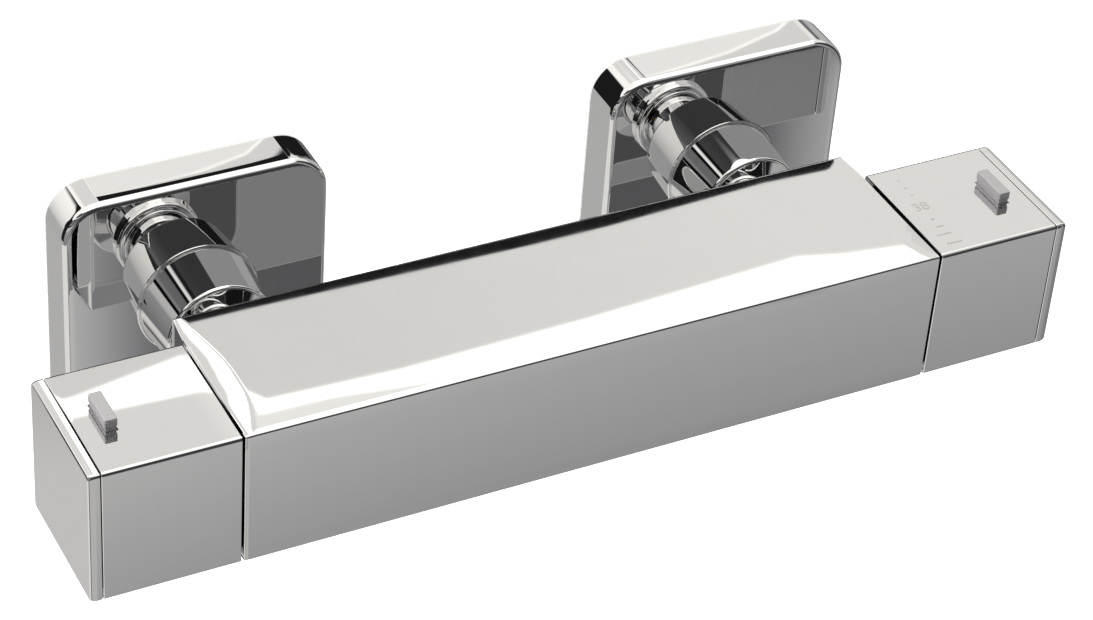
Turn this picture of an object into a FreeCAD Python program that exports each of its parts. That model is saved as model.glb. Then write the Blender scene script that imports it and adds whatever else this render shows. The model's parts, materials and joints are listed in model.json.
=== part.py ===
import FreeCAD, Part
import math
import os
from FreeCAD import Vector

# A thermostatic shower valve: a square chrome bar between two square handles, on two
# wall unions. X runs along the bar to the temperature handle, Y into the wall, Z up.
# The origin is on the wall, midway between the inlets. Every piece is built with the
# handles' axis on Y = 0 and moved out from the wall when it is saved. Sizes are in mm.

# The bar
wall_distance = 70.0       # from the wall to the axis that both handles turn on
inlet_pitch = 150.0        # between the two inlets
section = 38.0             # square section of the bar's front, of the handles and caps
body_length = 187.8        # between the body's end faces
body_depth = 47.95         # from the front face to the rear face
rear_taper = 0.9           # the end faces lean in this much at the rear
rear_roll = 0.8            # radius of the softened edges at the rear
crisp_edge = 0.5           # radius of the crisp edges
crown = 0.2                # rise of the top and bottom faces at their middle

# Handles and caps
seam = 0.7                 # open gap between the body and a handle
handle_length = 34.3
handle_wall = 2.0
cap_seam = 0.25
cap_thickness = 3.05
cap_edge = 2.8             # rounding of the cap's outer rim
cap_spigot = 1.2           # how far the cap's rim reaches into the handle
cap_spigot_wall = 1.6
carrier_hub = 8.6          # radius kept whole round the spindle
web = 2.0                  # wall that the handle screw clamps

# Buttons
button_length = 11.0       # along Y
button_width = 3.2         # along X
button_rise = 3.5          # above the handle's top face
button_from_rim = 7.5      # from the handle's outer rim to the button's middle
button_travel = 2.0
button_rim = 1.0           # flange that keeps the button in its slot
button_flange = 1.2
button_gap = 0.15
stop_arm_width = 3.0
stop_foot = 1.3            # height of the foot that meets the stop ring's lug
foot_gap = 0.35            # free height between that foot and the lug

# Stop rings
stop_ring_radius = 16.4
stop_ring_wall = 1.2
stop_ring_base = 1.3
stop_ring_height = 5.1
stop_lug = 0.5             # height of the lug inside the ring
stop_lug_width = 4.0
temperature_lug_angle = -14.0  # meets the button's foot at 38 degrees
flow_lug_angle = 59.0          # meets it at half flow

# Spindles, shared by both sides
spindle_radius = 5.0
spline_radius = 4.0
spline_root = 3.5
spline_teeth = 12
spline_length = 11.0
spline_gap = 1.2           # width of the space between two teeth
running_clearance = 0.06   # radial, for what turns or slides
seat_clearance = 0.1       # radial, for what is screwed or pushed together
screw_radius = 2.0
screw_head_radius = 3.6
screw_head_height = 2.4
screw_length = 12.0

# Hexagons of the retaining nut and the headwork
spanner_flats = 19.0
spanner_height = 3.6

# Thermostat side of the body, measured inwards from its end face
nut_thread_radius = 14.5
nut_thread_depth = 11.0
sleeve_flange = 3.0
sleeve_length = 49.8
sleeve_bore = 12.5         # radius of the body's bore round the sleeve
sleeve_floor_gap = 0.3
neck_radius = 7.4
hot_port = 34.9            # from the flange seat to the hot port
cold_port = 18.9
port_radius = 4.0
recess_radius = 11.2       # floor of the sleeve's outer recesses
recess_length = 8.6
window_length = 4.2
window_width = 7.0
windows = 4
window_turn = 30.0         # keeps the windows clear of the key slots
tip_lip = 2.3
tip_hole = 6.3
tip_bore = 9.0
spool_bore = 9.4
spool_length = 7.0
spool_skirt = 1.0
spool_web = 2.0
spool_holes = 4
spool_hole_radius = 1.2
wax_radius = 5.0
wax_length = 21.0
wax_flange_radius = 6.4
wax_flange_width = 1.5
piston_radius = 1.6
carriage_radius = 8.6
carriage_length = 13.5
carriage_cup = 5.5
carriage_wall = 1.7
key_width = 2.0
key_height = 0.9
push_cup_width = 1.4
push_gap = 0.1
collar_radius = 8.2
collar_width = 1.9
temperature_travel_in = 1.3    # carriage travel towards cold
temperature_travel_out = 0.5   # and towards hot

# Ring seals
ring_wire = 2.0            # thickness of an O-ring
ring_groove = 2.5          # width of its groove
ring_squeeze = 0.05        # gap left between a ring and its walls
ring_sides = 6             # flats of a pressed ring's section

# Springs: mean radius, wire and turns
coil_steps = 10            # straight runs in one turn
return_spring = (7.0, 1.2, 5)
overtravel_spring = (5.4, 1.0, 2)
button_spring = (1.5, 0.5, 5)
check_spring = (3.3, 0.6, 4)

# Flow side of the body
flow_thread_radius = 12.5
flow_thread_depth = 11.0
flow_bore = 10.5
flow_bore_depth = 40.0
disc_radius = 8.9
disc_thickness = 3.0
disc_gap = 0.05
disc_opening = 7.2         # outer radius of the openings through a disc
disc_opening_inner = 2.6
disc_seal_width = 4.0
drive_width = 3.0
flow_window = 5.0
flow_waist = 9.7           # headwork radius in the outlet chamber

# Galleries cast in the body
gallery_y = 21.0           # behind the bores, from each inlet to its port
mixed_radius = 5.0
outlet_gallery_radius = 4.0
outlet_gallery_drop = 10.5

# Outlet for the shower hose, a 1/2 inch male thread
outlet_radius = 10.48
outlet_from_front = 23.65  # from the body's front face to the outlet's middle
outlet_reach = 10.0
outlet_bore = 7.0
outlet_socket_radius = 8.5
outlet_socket_depth = 4.4
outlet_seal = 0.8

# Inlet tails, screwed into the body's rear face
socket_radius = 9.5
socket_depth = 8.5
tail_neck_radius = 9.2
tail_collar_radius = 12.8
collar_to_wall = 26.5      # from the front of the tail's collar to the wall
tail_collar = 2.5
tail_bore = 6.6
tail_flange_radius = 11.0
tail_flange = 1.6

# Check valves in the tails
check_radius = 7.5
check_length = 13.0
check_wall = 1.3
check_seat_radius = 4.0
check_seat = 2.0
poppet_radius = 5.2
poppet_thickness = 1.7
poppet_stem = 1.5
check_travel = 2.5

# Coupling nuts and unions
nut_radius = 15.0
nut_to_wall = 29.7         # from the front rim of the coupling nut to the wall
nut_length = 18.0
nut_lip = 3.0
nut_rim = 1.0
washer_thickness = 2.0
filter_sheet = 0.4
filter_slot = 1.8
union_radius = 13.2        # 3/4 inch male thread
union_thread = 11.0
union_bore = 8.0
union_hex = 27.0
union_hex_width = 4.5
union_offset = 6.0         # how far the wall thread lies below the inlet
union_body_radius = 12.2
wall_thread_radius = 10.48 # 1/2 inch male thread
wall_thread_start = 2.0    # in front of the wall
wall_thread_reach = 18.0   # behind the wall
wall_thread_bore = 7.0

# Wall plates
plate_side = 70.0
plate_depth = 13.0         # with the soft seal behind it
plate_corner = 10.0
plate_wall = 1.6
plate_edge = 2.6           # rounding of the front face's rim
plate_hole_gap = 0.3       # round the coupling nut
plate_bead = 0.4           # height of the rolled lip round that hole
plate_bead_width = 0.9
plate_seal = 0.8
plate_seal_width = 3.2

# Values that follow from those above
half = section / 2
half_pitch = inlet_pitch / 2
body_end = body_length / 2
body_rear = body_depth - half
handle_start = body_end + seam
handle_end = handle_start + handle_length
carrier_end = handle_end - cap_spigot
carrier_start = body_end + stop_ring_height + seam
bay = half - handle_wall
button_x = handle_end - button_from_rim
flange_seat = body_end - nut_thread_depth - sleeve_flange
sleeve_tip = flange_seat - sleeve_length
hot_x = flange_seat - hot_port
cold_x = flange_seat - cold_port
spool_middle = (hot_x + cold_x) / 2
shoulder = body_end - nut_thread_depth
neck_end = body_end + spanner_height
spline_start = neck_end + seat_clearance
spline_end = spline_start + spline_length
web_start = spline_end + seat_clearance
foot_height = stop_ring_radius - stop_ring_wall - stop_lug - foot_gap
neck_rear = wall_distance - collar_to_wall
tail_end = neck_rear + tail_collar
nut_start = wall_distance - nut_to_wall
union_start = tail_end + washer_thickness
union_shoulder = union_start + union_thread
plate_front = wall_distance - plate_depth
plate_back = wall_distance - plate_seal
flow_floor = body_end - flow_bore_depth
flow_seat = body_end - flow_thread_depth
outlet_y = outlet_from_front - half
long = body_length         # longer than any cut needs to be

os.makedirs("parts", exist_ok=True)


def save(name, shape):
    placed = shape.copy()
    placed.translate(Vector(0, -wall_distance, 0))
    placed.exportStep("parts/" + name + ".step")


def spun(profile, along, across, at=Vector(0, 0, 0)):
    """Turn a closed half section of (distance, radius) points into a solid."""
    points = [at + along * d + across * r for d, r in profile]
    face = Part.Face(Part.makePolygon(points + points[:1]))
    return face.revolve(at, along, 360)


def spun_x(profile):
    return spun(profile, Vector(1, 0, 0), Vector(0, 0, 1))


def spun_y(profile, x=0.0, z=0.0):
    return spun(profile, Vector(0, 1, 0), Vector(1, 0, 0), Vector(x, 0, z))


def rod_x(radius, start, end, y=0.0, z=0.0):
    return Part.makeCylinder(radius, end - start, Vector(start, y, z), Vector(1, 0, 0))


def rod_y(radius, start, end, x=0.0, z=0.0):
    return Part.makeCylinder(radius, end - start, Vector(x, start, z), Vector(0, 1, 0))


def rod_z(radius, start, end, x=0.0, y=0.0):
    return Part.makeCylinder(radius, end - start, Vector(x, y, start))


def block(x, y, z):
    """A box from three (low, high) pairs."""
    corner = Vector(x[0], y[0], z[0])
    return Part.makeBox(x[1] - x[0], y[1] - y[0], z[1] - z[0], corner)


def square_bar(half_width, start, end, corner=0.0):
    bar = block((start, end), (-half_width, half_width), (-half_width, half_width))
    if corner:
        bar = bar.makeFillet(corner, lengthwise(bar, Vector(1, 0, 0)))
    return bar


def lengthwise(shape, direction):
    """The straight edges of a shape that run along one direction."""
    return [e for e in shape.Edges if straight(e) and along(e, direction)]


def straight(edge):
    return isinstance(edge.Curve, Part.Line)


def along(edge, direction):
    return edge.tangentAt(edge.FirstParameter).cross(direction).Length < 1e-6


def hexagon(flats, start, end, axis):
    """A hexagonal bar about an axis through the origin, with a corner at the top."""
    radius = flats / math.sqrt(3)
    side = axis.cross(Vector(0, 0, 1))
    corners = []
    for i in range(7):
        angle = math.radians(60 * i)
        offset = Vector(0, 0, 1) * math.cos(angle) + side * math.sin(angle)
        corners.append(axis * start + offset * radius)
    return Part.Face(Part.makePolygon(corners)).extrude(axis * (end - start))


def spaced_round_x(shape, count, first=0.0):
    """Copies of a shape, evenly spaced about the handles' axis."""
    step = 360.0 / count
    return [turned_x(shape, first + i * step) for i in range(count)]


def turned_x(shape, angle):
    copy = shape.copy()
    copy.rotate(Vector(0, 0, 0), Vector(1, 0, 0), angle)
    return copy


def mirrored(shape):
    """The same piece on the other end of the bar."""
    return shape.mirror(Vector(0, 0, 0), Vector(1, 0, 0))


def o_ring_x(outer_radius, x):
    """An O-ring with a six-sided section, flat where it is pressed."""
    ring = outer_radius - ring_squeeze - ring_wire / 2
    corner = ring_wire / 2 / math.cos(math.pi / ring_sides)
    section_points = []
    for i in range(ring_sides):
        angle = math.pi / 2 + math.tau * (i + 0.5) / ring_sides
        section_points.append((x + corner * math.cos(angle), ring + corner * math.sin(angle)))
    return spun_x(section_points)


def o_ring_groove(outer_radius, x):
    """The ring-shaped cut that an O-ring of this outer radius lies in."""
    floor = outer_radius - 2 * ring_squeeze - ring_wire
    low, high = x - ring_groove / 2, x + ring_groove / 2
    beyond = outer_radius + ring_wire
    return spun_x([(low, floor), (high, floor), (high, beyond), (low, beyond)])


def coil(sizes, length, at, direction):
    """An open coil spring of square wire that just fits between two seats."""
    radius, wire, turns = sizes
    rise = length - wire
    steps = round(turns * coil_steps)
    sections = []
    for i in range(steps + 1):
        angle = math.tau * i / coil_steps
        outward = Vector(math.cos(angle), math.sin(angle), 0)
        middle = outward * radius + Vector(0, 0, wire / 2 + rise * i / steps)
        corners = [middle + outward * (wire / 2 * a) + Vector(0, 0, wire / 2 * b)
                   for a, b in ((1, 1), (-1, 1), (-1, -1), (1, -1), (1, 1))]
        sections.append(Part.makePolygon(corners))
    spring = Part.makeLoft(sections, True, True)
    turn = FreeCAD.Rotation(Vector(0, 0, 1), direction)
    spring.Placement = FreeCAD.Placement(at, turn)
    return spring


# ---- valve body

def bar_section():
    """Section of the bar: crisp front, crowned top and bottom, softened rear edges."""
    front, rear = -half, body_rear
    middle = (front + rear) / 2
    edge, roll = crisp_edge, rear_roll
    low = half - crown
    quarter = math.sqrt(0.5)
    top = [
        Part.Arc(Vector(0, front, low - edge),
                 Vector(0, front + edge * (1 - quarter), low - edge * (1 - quarter)),
                 Vector(0, front + edge, low)),
        Part.Arc(Vector(0, front + edge, low), Vector(0, middle, half),
                 Vector(0, rear - roll, low)),
        Part.Arc(Vector(0, rear - roll, low),
                 Vector(0, rear - roll * (1 - quarter), low - roll * (1 - quarter)),
                 Vector(0, rear, low - roll)),
        Part.LineSegment(Vector(0, rear, low - roll), Vector(0, rear, 0)),
        Part.LineSegment(Vector(0, front, 0), Vector(0, front, low - edge)),
    ]
    upper = [curve.toShape() for curve in top]
    lower = [e.mirror(Vector(0, 0, 0), Vector(0, 0, 1)) for e in upper]
    return Part.Face(Part.Wire(Part.__sortEdges__(upper + lower)))


def body_blank():
    blank = bar_section().extrude(Vector(body_length, 0, 0))
    blank.translate(Vector(-body_end, 0, 0))
    lean = [Vector(body_end, half, -section), Vector(body_end + seam, half, -section),
            Vector(body_end + seam, body_rear + seam, -section)]
    slope = rear_taper / (body_rear - half)
    lean.append(Vector(body_end - slope * (body_rear + seam - half), body_rear + seam,
                       -section))
    wedge = Part.Face(Part.makePolygon(lean + lean[:1])).extrude(Vector(0, 0, 2 * section))
    return blank.cut([wedge, mirrored(wedge)])


def body_cuts():
    tip_floor = sleeve_tip - sleeve_floor_gap
    thermostat = [
        rod_x(nut_thread_radius, shoulder, body_end + seam),
        rod_x(nut_thread_radius, flange_seat, shoulder),
        rod_x(sleeve_bore, tip_floor, flange_seat),
    ]
    flow = [
        mirrored(rod_x(flow_thread_radius, flow_seat, body_end + seam)),
        mirrored(rod_x(flow_bore, flow_floor, flow_seat)),
    ]
    mixed = [rod_x(mixed_radius, -flow_floor, tip_floor)]
    feeds = [
        rod_x(port_radius, -half_pitch, hot_x, gallery_y),
        rod_x(port_radius, cold_x, half_pitch, gallery_y),
        rod_y(port_radius, 0, gallery_y, hot_x),
        rod_y(port_radius, 0, gallery_y, cold_x),
    ]
    socket = socket_radius
    inlets = [rod_y(socket, body_rear - socket_depth, body_rear + seam, x)
              for x in (-half_pitch, half_pitch)]
    chamber_x = outlet_chamber_x()
    top = -outlet_gallery_drop + outlet_gallery_radius
    outlet = [
        rod_x(outlet_gallery_radius, chamber_x, outlet_bore / 2, 0, -outlet_gallery_drop),
        rod_z(outlet_bore, -half - seam, top, 0, outlet_y),
        rod_z(outlet_socket_radius, -half - seam, -half + outlet_socket_depth, 0, outlet_y),
    ]
    return thermostat + flow + mixed + feeds + inlets + outlet


def outlet_chamber_x():
    """Middle of the headwork's outlet windows, on the flow side."""
    return -(flow_floor + disc_seal_width + 2 * disc_thickness + drive_width / 2
             + flow_window / 2)


def valve_body():
    return body_blank().cut(body_cuts())


# ---- thermostat cartridge

def sleeve_rings():
    """Places of the three ring seals, either side of both ports."""
    outer = cold_x + recess_length / 2 + ring_groove
    inner = hot_x - recess_length / 2 - ring_groove / 2 - ring_squeeze * 4
    return [inner, spool_middle, outer]


def thermostat_sleeve():
    outer = sleeve_bore - seat_clearance
    body = spun_x([
        (sleeve_tip, tip_hole), (sleeve_tip + tip_lip, tip_hole),
        (sleeve_tip + tip_lip, tip_bore), (spool_middle - spool_length, tip_bore),
        (spool_middle - spool_length, spool_bore),
        (cold_x, spool_bore), (cold_x, carriage_bore()),
        (shoulder, carriage_bore()), (shoulder, spindle_bore()),
        (neck_end, spindle_bore()), (neck_end, neck_radius), (shoulder, neck_radius),
        (shoulder, nut_thread_radius - seat_clearance),
        (flange_seat, nut_thread_radius - seat_clearance), (flange_seat, outer),
        (sleeve_tip, outer),
    ])
    cuts = [o_ring_groove(sleeve_bore, x) for x in sleeve_rings()]
    for x in (hot_x, cold_x):
        low, high = x - recess_length / 2, x + recess_length / 2
        cuts.append(spun_x([(low, recess_radius), (high, recess_radius),
                            (high, sleeve_bore), (low, sleeve_bore)]))
    edge = spool_length / 2 - spool_overlap()
    width = (-window_width / 2, window_width / 2)
    for low in (spool_middle - edge - window_length, spool_middle + edge):
        slot = block((low, low + window_length), width, (tip_hole, sleeve_bore))
        cuts += spaced_round_x(slot, windows, window_turn)
    reach = carriage_bore() + key_height
    key_slot = block((cold_x, shoulder - push_gap), key_span(seat_clearance),
                     (tip_hole, reach))
    cuts += spaced_round_x(key_slot, 2)
    return body.cut(cuts)


def spool_overlap():
    """How far each end of the shuttle covers its windows at 38 degrees."""
    return window_length / 6


def carriage_bore():
    return carriage_radius + running_clearance


def spindle_bore():
    return spindle_radius + running_clearance


def key_span(gap=0.0):
    return (-key_width / 2 - gap, key_width / 2 + gap)


def thermostat_rings():
    return Part.makeCompound([o_ring_x(sleeve_bore, x) for x in sleeve_rings()])


def thermostat_nut():
    thread = rod_x(nut_thread_radius - seat_clearance, shoulder, body_end)
    head = hexagon(spanner_flats, body_end, neck_end, Vector(1, 0, 0))
    hole = rod_x(neck_radius + seat_clearance, shoulder, neck_end + seam)
    return thread.fuse(head).removeSplitter().cut(hole)


def thermostat_shuttle():
    low, high = spool_middle - spool_length / 2, spool_middle + spool_length / 2
    outer = spool_bore - running_clearance
    inner = outer - spool_skirt
    hub = wax_radius + seat_clearance
    web_low, web_high = spool_middle - spool_web / 2, spool_middle + spool_web / 2
    body = spun_x([
        (low, inner), (low, outer), (high, outer), (high, inner),
        (web_high, inner), (web_high, hub), (web_low, hub), (web_low, inner),
    ])
    middle = (hub + inner) / 2
    hole = rod_x(spool_hole_radius, low, high, 0, middle)
    return body.cut(spaced_round_x(hole, spool_holes))


def wax_element():
    seat = spool_middle + spool_web / 2
    low = seat - wax_length * 2 / 3
    high = low + wax_length
    return spun_x([
        (low, 0), (low + wax_radius / 4, wax_radius), (seat, wax_radius),
        (seat, wax_flange_radius), (seat + wax_flange_width, wax_flange_radius),
        (seat + wax_flange_width, wax_radius), (high, wax_radius),
        (high, piston_radius), (push_face() - push_gap, piston_radius),
        (push_face() - push_gap, 0),
    ])


def carriage_span():
    """Ends of the carriage at rest, with room for its travel up to the collar."""
    high = shoulder - collar_width - push_gap - temperature_travel_out - seat_clearance
    return high - carriage_length, high


def push_face():
    return carriage_span()[0] - push_gap


def push_cup():
    start = push_face()
    radius = carriage_radius - carriage_wall - seat_clearance
    boss = overtravel_spring[0] - overtravel_spring[1]
    return spun_x([
        (start, 0), (start, radius), (start + push_cup_width, radius),
        (start + push_cup_width, boss), (start + 2 * push_cup_width, boss),
        (start + 2 * push_cup_width, 0),
    ])


def carriage_nut():
    low, high = carriage_span()
    cup = carriage_radius - carriage_wall
    bore = spindle_radius + running_clearance
    body = spun_x([
        (low, cup), (low, carriage_radius), (high, carriage_radius), (high, bore),
        (low + carriage_cup, bore), (low + carriage_cup, cup),
    ])
    top = carriage_radius + key_height - seat_clearance
    key = block((low, high), key_span(), (cup, top))
    return body.fuse(spaced_round_x(key, 2)).removeSplitter()


def overtravel_coil():
    low = push_face() + push_cup_width
    high = carriage_span()[0] + carriage_cup
    return coil(overtravel_spring, high - low, Vector(low, 0, 0), Vector(1, 0, 0))


def return_coil():
    low = sleeve_tip + tip_lip
    high = spool_middle - spool_web / 2
    return coil(return_spring, high - low, Vector(low, 0, 0), Vector(1, 0, 0))


def splined_end(extra=0.0):
    """The toothed end of a spindle, or with extra size the socket that takes it."""
    shaft = rod_x(spline_radius + extra, spline_start, spline_end + extra)
    half_gap = spline_gap / 2 - extra
    gap = block((spline_start, spline_end + extra), (-half_gap, half_gap),
                (spline_root + extra, spline_radius + 2 * seat_clearance + extra))
    return shaft.cut(spaced_round_x(gap, spline_teeth))


def screw_bore(start, end):
    return rod_x(screw_radius + running_clearance, start, end)


def temperature_spindle():
    low = carriage_span()[0] + carriage_cup + spline_gap
    collar_low = shoulder - collar_width - push_gap
    stem = spun_x([
        (low, 0), (low, spindle_radius), (collar_low, spindle_radius),
        (collar_low, collar_radius), (shoulder - push_gap, collar_radius),
        (shoulder - push_gap, spindle_radius), (spline_start, spindle_radius),
        (spline_start, 0),
    ])
    hole = screw_bore(spline_end - screw_length, spline_end)
    return stem.fuse(splined_end()).removeSplitter().cut(hole)


# ---- flow headwork, built on the right and mirrored to the left

def disc_places():
    """Inner faces of the fixed disc, the turning disc and the drive plate."""
    fixed = flow_floor + disc_seal_width
    turning = fixed + disc_thickness + disc_gap
    drive = turning + disc_thickness
    return fixed, turning, drive


def flow_headwork():
    fixed, turning, drive = disc_places()
    cavity = disc_radius + seat_clearance
    window_end = drive + drive_width / 2 + flow_window
    outer = flow_bore - seat_clearance
    low = fixed - disc_seal_width / 2
    body = spun_x([
        (low, cavity), (window_end, cavity), (window_end, spindle_bore()),
        (neck_end, spindle_bore()), (neck_end, neck_radius), (flow_seat, neck_radius),
        (flow_seat, outer), (window_end, outer), (window_end, flow_waist),
        (drive, flow_waist), (drive, outer), (low, outer),
    ])
    thread = rod_x(flow_thread_radius - seat_clearance, flow_seat, body_end)
    head = hexagon(spanner_flats, body_end, neck_end, Vector(1, 0, 0))
    head = thread.fuse(head).cut(rod_x(spindle_bore(), flow_seat, neck_end + seam))
    slot = block((drive + drive_width / 2, window_end), (-disc_opening, disc_opening),
                 (0, flow_bore))
    cuts = spaced_round_x(slot, 2) + [o_ring_groove(flow_bore, flow_ring_x())]
    return body.fuse(head).removeSplitter().cut(cuts)


def flow_ring_x():
    return flow_seat - ring_groove


def disc_seal():
    fixed = disc_places()[0]
    low = flow_floor
    return spun_x([
        (low, disc_opening), (fixed, disc_opening), (fixed, disc_radius),
        (low, disc_radius),
    ])


def ceramic_disc(start, first_angle):
    """A disc with two openings of a sixth of a turn each."""
    disc = rod_x(disc_radius, start, start + disc_thickness)
    ring = [(start, disc_opening_inner), (start + disc_thickness, disc_opening_inner),
            (start + disc_thickness, disc_opening), (start, disc_opening)]
    points = [Vector(d, 0, r) for d, r in ring]
    sector = Part.Face(Part.makePolygon(points + points[:1]))
    sector = sector.revolve(Vector(0, 0, 0), Vector(1, 0, 0), 70)
    return disc.cut(spaced_round_x(sector, 2, first_angle))


def flow_spindle():
    drive = disc_places()[2]
    plate = rod_x(disc_radius - seat_clearance, drive, drive + drive_width)
    side = disc_radius * 2
    flat = block((drive, drive + drive_width), (-side, side), (poppet_radius, side))
    plate = plate.cut([flat, turned_x(flat, 180)])
    stem = rod_x(spindle_radius, drive, spline_start)
    hole = screw_bore(spline_end - screw_length, spline_end)
    return plate.fuse([stem, splined_end()]).removeSplitter().cut(hole)


# ---- handles

def handle_shell():
    shell = square_bar(half, handle_start, handle_end, crisp_edge)
    inside = square_bar(bay, handle_start, handle_end)
    return shell.cut([inside, button_block(button_gap, half - handle_wall, half)])


def button_block(extra, low, high):
    x = (button_x - button_width / 2 - extra, button_x + button_width / 2 + extra)
    y = (-button_length / 2 - extra, button_length / 2 + extra)
    return block(x, y, (low, high))


def end_cap():
    start = handle_end + cap_seam
    plate = square_bar(half, start, start + cap_thickness, crisp_edge)
    rim = [e for e in plate.Edges if e.BoundBox.XMin > start + cap_thickness - crisp_edge]
    plate = plate.makeFillet(min(cap_edge, cap_thickness - crisp_edge), rim)
    outer = bay - seat_clearance
    spigot = square_bar(outer, carrier_end, start)
    hollow = square_bar(outer - cap_spigot_wall, carrier_end, start)
    return plate.fuse(spigot.cut(hollow)).removeSplitter()


def handle_carrier():
    """Plastic block that fills the handle, grips the spindle and holds the button."""
    low, high = carrier_start, carrier_end
    blank = square_bar(bay - seat_clearance, low, high)
    pocket = rod_x(screw_head_radius + 2 * seat_clearance, web_start + web, high)
    side = button_length / 2 + button_rim + 2 * seat_clearance
    reach = button_x + button_width / 2 + button_rim + 2 * seat_clearance
    bay_floor = arm_height() - button_travel - 2 * seat_clearance
    channel = block((low, reach), (-side, side), (bay_floor, half))
    well = rod_z(spring_well(), spring_floor(), half, button_x)
    cuts = [splined_end(running_clearance), screw_bore(spline_end, web_start + web),
            pocket, channel, well]
    return blank.cut(cuts)


def spring_well():
    return button_spring[0] + button_spring[1] / 2 + 2 * seat_clearance


def spring_floor():
    return button_floor() - button_travel - button_spring[1] * (button_spring[2] + 1)


def button_floor():
    """Underside of the button's flange."""
    return bay - seat_clearance - button_flange


def arm_height():
    """Underside of the stop arm's foot."""
    return foot_height - stop_foot


def button():
    top = half + button_rise
    cap = button_block(0, button_floor(), top)
    rim = [e for e in cap.Edges if e.BoundBox.ZMin > top - crisp_edge]
    cap = cap.makeFillet(crisp_edge, rim)
    flange = button_block(button_rim, button_floor(), button_floor() + button_flange)
    width = (-stop_arm_width / 2, stop_arm_width / 2)
    arm_start = body_end + stop_ring_height + foot_gap
    foot_start = body_end + stop_ring_base + foot_gap
    arm_top = button_floor() + button_flange
    arm = block((arm_start, button_x), width, (button_floor(), arm_top))
    drop = block((arm_start, arm_start + stop_foot), width, (arm_height(), arm_top))
    foot = block((foot_start, arm_start + stop_foot), width, (arm_height(), foot_height))
    return cap.fuse([flange, arm, drop, foot]).removeSplitter()


def button_coil():
    floor = spring_floor()
    place = Vector(button_x, 0, floor)
    return coil(button_spring, button_floor() - floor, place, Vector(0, 0, 1))


def handle_screw():
    head = web_start + web
    socket = hexagon(screw_radius * 2, head + screw_head_height / 2,
                     head + screw_head_height, Vector(1, 0, 0))
    screw = spun_x([
        (spline_end - screw_length + spline_gap, 0),
        (spline_end - screw_length + spline_gap, screw_radius),
        (head, screw_radius), (head, screw_head_radius),
        (head + screw_head_height, screw_head_radius), (head + screw_head_height, 0),
    ])
    return screw.cut(socket)


def stop_ring(lug_angle):
    """A cup round the spanner hexagon, with one lug inside its rim."""
    inner = stop_ring_radius - stop_ring_wall
    base = body_end + stop_ring_base
    rim = body_end + stop_ring_height
    cup = spun_x([
        (body_end, 0), (body_end, stop_ring_radius), (rim, stop_ring_radius),
        (rim, inner), (base, inner), (base, 0),
    ])
    lug = block((base, rim), (-stop_lug_width / 2, stop_lug_width / 2),
                (inner - stop_lug, inner + stop_ring_wall / 2))
    hole = hexagon(spanner_flats + 2 * seat_clearance, body_end, base, Vector(1, 0, 0))
    return cup.fuse(turned_x(lug, lug_angle)).removeSplitter().cut(hole)


# ---- inlets, built about the inlet axis at any x

def inlet_tail(x):
    low = body_rear - socket_depth
    check_low = tail_end - check_length - seat_clearance
    return spun_y([
        (low, tail_bore), (low, socket_radius - seat_clearance),
        (body_rear, socket_radius - seat_clearance), (body_rear, tail_flange_radius),
        (body_rear + tail_flange, tail_flange_radius),
        (body_rear + tail_flange, tail_neck_radius), (neck_rear, tail_neck_radius),
        (neck_rear, tail_collar_radius), (tail_end, tail_collar_radius),
        (tail_end, check_radius + seat_clearance),
        (check_low, check_radius + seat_clearance), (check_low, tail_bore),
    ], x)


def check_places():
    """Both ends of the cage and the face that the poppet seats on."""
    high = tail_end
    low = high - check_length
    return low, high - check_seat, high


def check_cage(x):
    low, seat, high = check_places()
    inner = check_radius - check_wall
    guide = low + check_seat
    cage = spun_y([
        (low, poppet_stem + running_clearance), (low, check_radius),
        (high, check_radius), (high, check_seat_radius), (seat, check_seat_radius),
        (seat, inner), (guide, inner), (guide, poppet_stem + running_clearance),
    ], x)
    slot = (check_seat_radius / 2, inner)
    side = (x - poppet_stem, x + poppet_stem)
    above = block(side, (low - seam, guide + seam), slot)
    below = block(side, (low - seam, guide + seam), (-slot[1], -slot[0]))
    return cage.cut([above, below])


def check_poppet(x):
    low, seat, high = check_places()
    face = seat - disc_gap
    back = face - poppet_thickness
    return spun_y([
        (low, 0), (low, poppet_stem), (back, poppet_stem), (back, poppet_radius),
        (face, poppet_radius), (face, 0),
    ], x)


def check_coil(x):
    low, seat, high = check_places()
    start = low + check_seat
    end = seat - disc_gap - poppet_thickness
    return coil(check_spring, end - start, Vector(x, start, 0), Vector(0, 1, 0))


def coupling_nut(x):
    """Round sleeve: a lip behind the tail's collar, then the 3/4 inch thread."""
    start, end = nut_start, nut_start + nut_length
    inner = union_radius + seat_clearance
    lip_end = min(start + nut_lip, neck_rear)
    hole = tail_neck_radius + seat_clearance * 2
    bend = nut_rim * (1 - math.sqrt(0.5))
    nut = spun_y([
        (start, hole), (start, nut_radius - nut_rim), (start + bend, nut_radius - bend),
        (start + nut_rim, nut_radius), (end, nut_radius), (end, inner),
        (lip_end, inner), (lip_end, hole),
    ], x)
    return nut


def filter_washer(x):
    low, high = tail_end, tail_end + washer_thickness
    outer = tail_collar_radius
    sheet = (low + high) / 2
    thin = filter_sheet / 2
    washer = spun_y([
        (low, union_bore), (low, outer), (high, outer), (high, union_bore),
        (sheet + thin, union_bore), (sheet + thin, 0), (sheet - thin, 0),
        (sheet - thin, union_bore),
    ], x)
    slots = []
    for i in range(-1, 2):
        middle = i * 2 * filter_slot
        slots.append(block((x - wax_radius, x + wax_radius), (low, high),
                           (middle - filter_slot / 2, middle + filter_slot / 2)))
    return washer.cut(slots)


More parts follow.
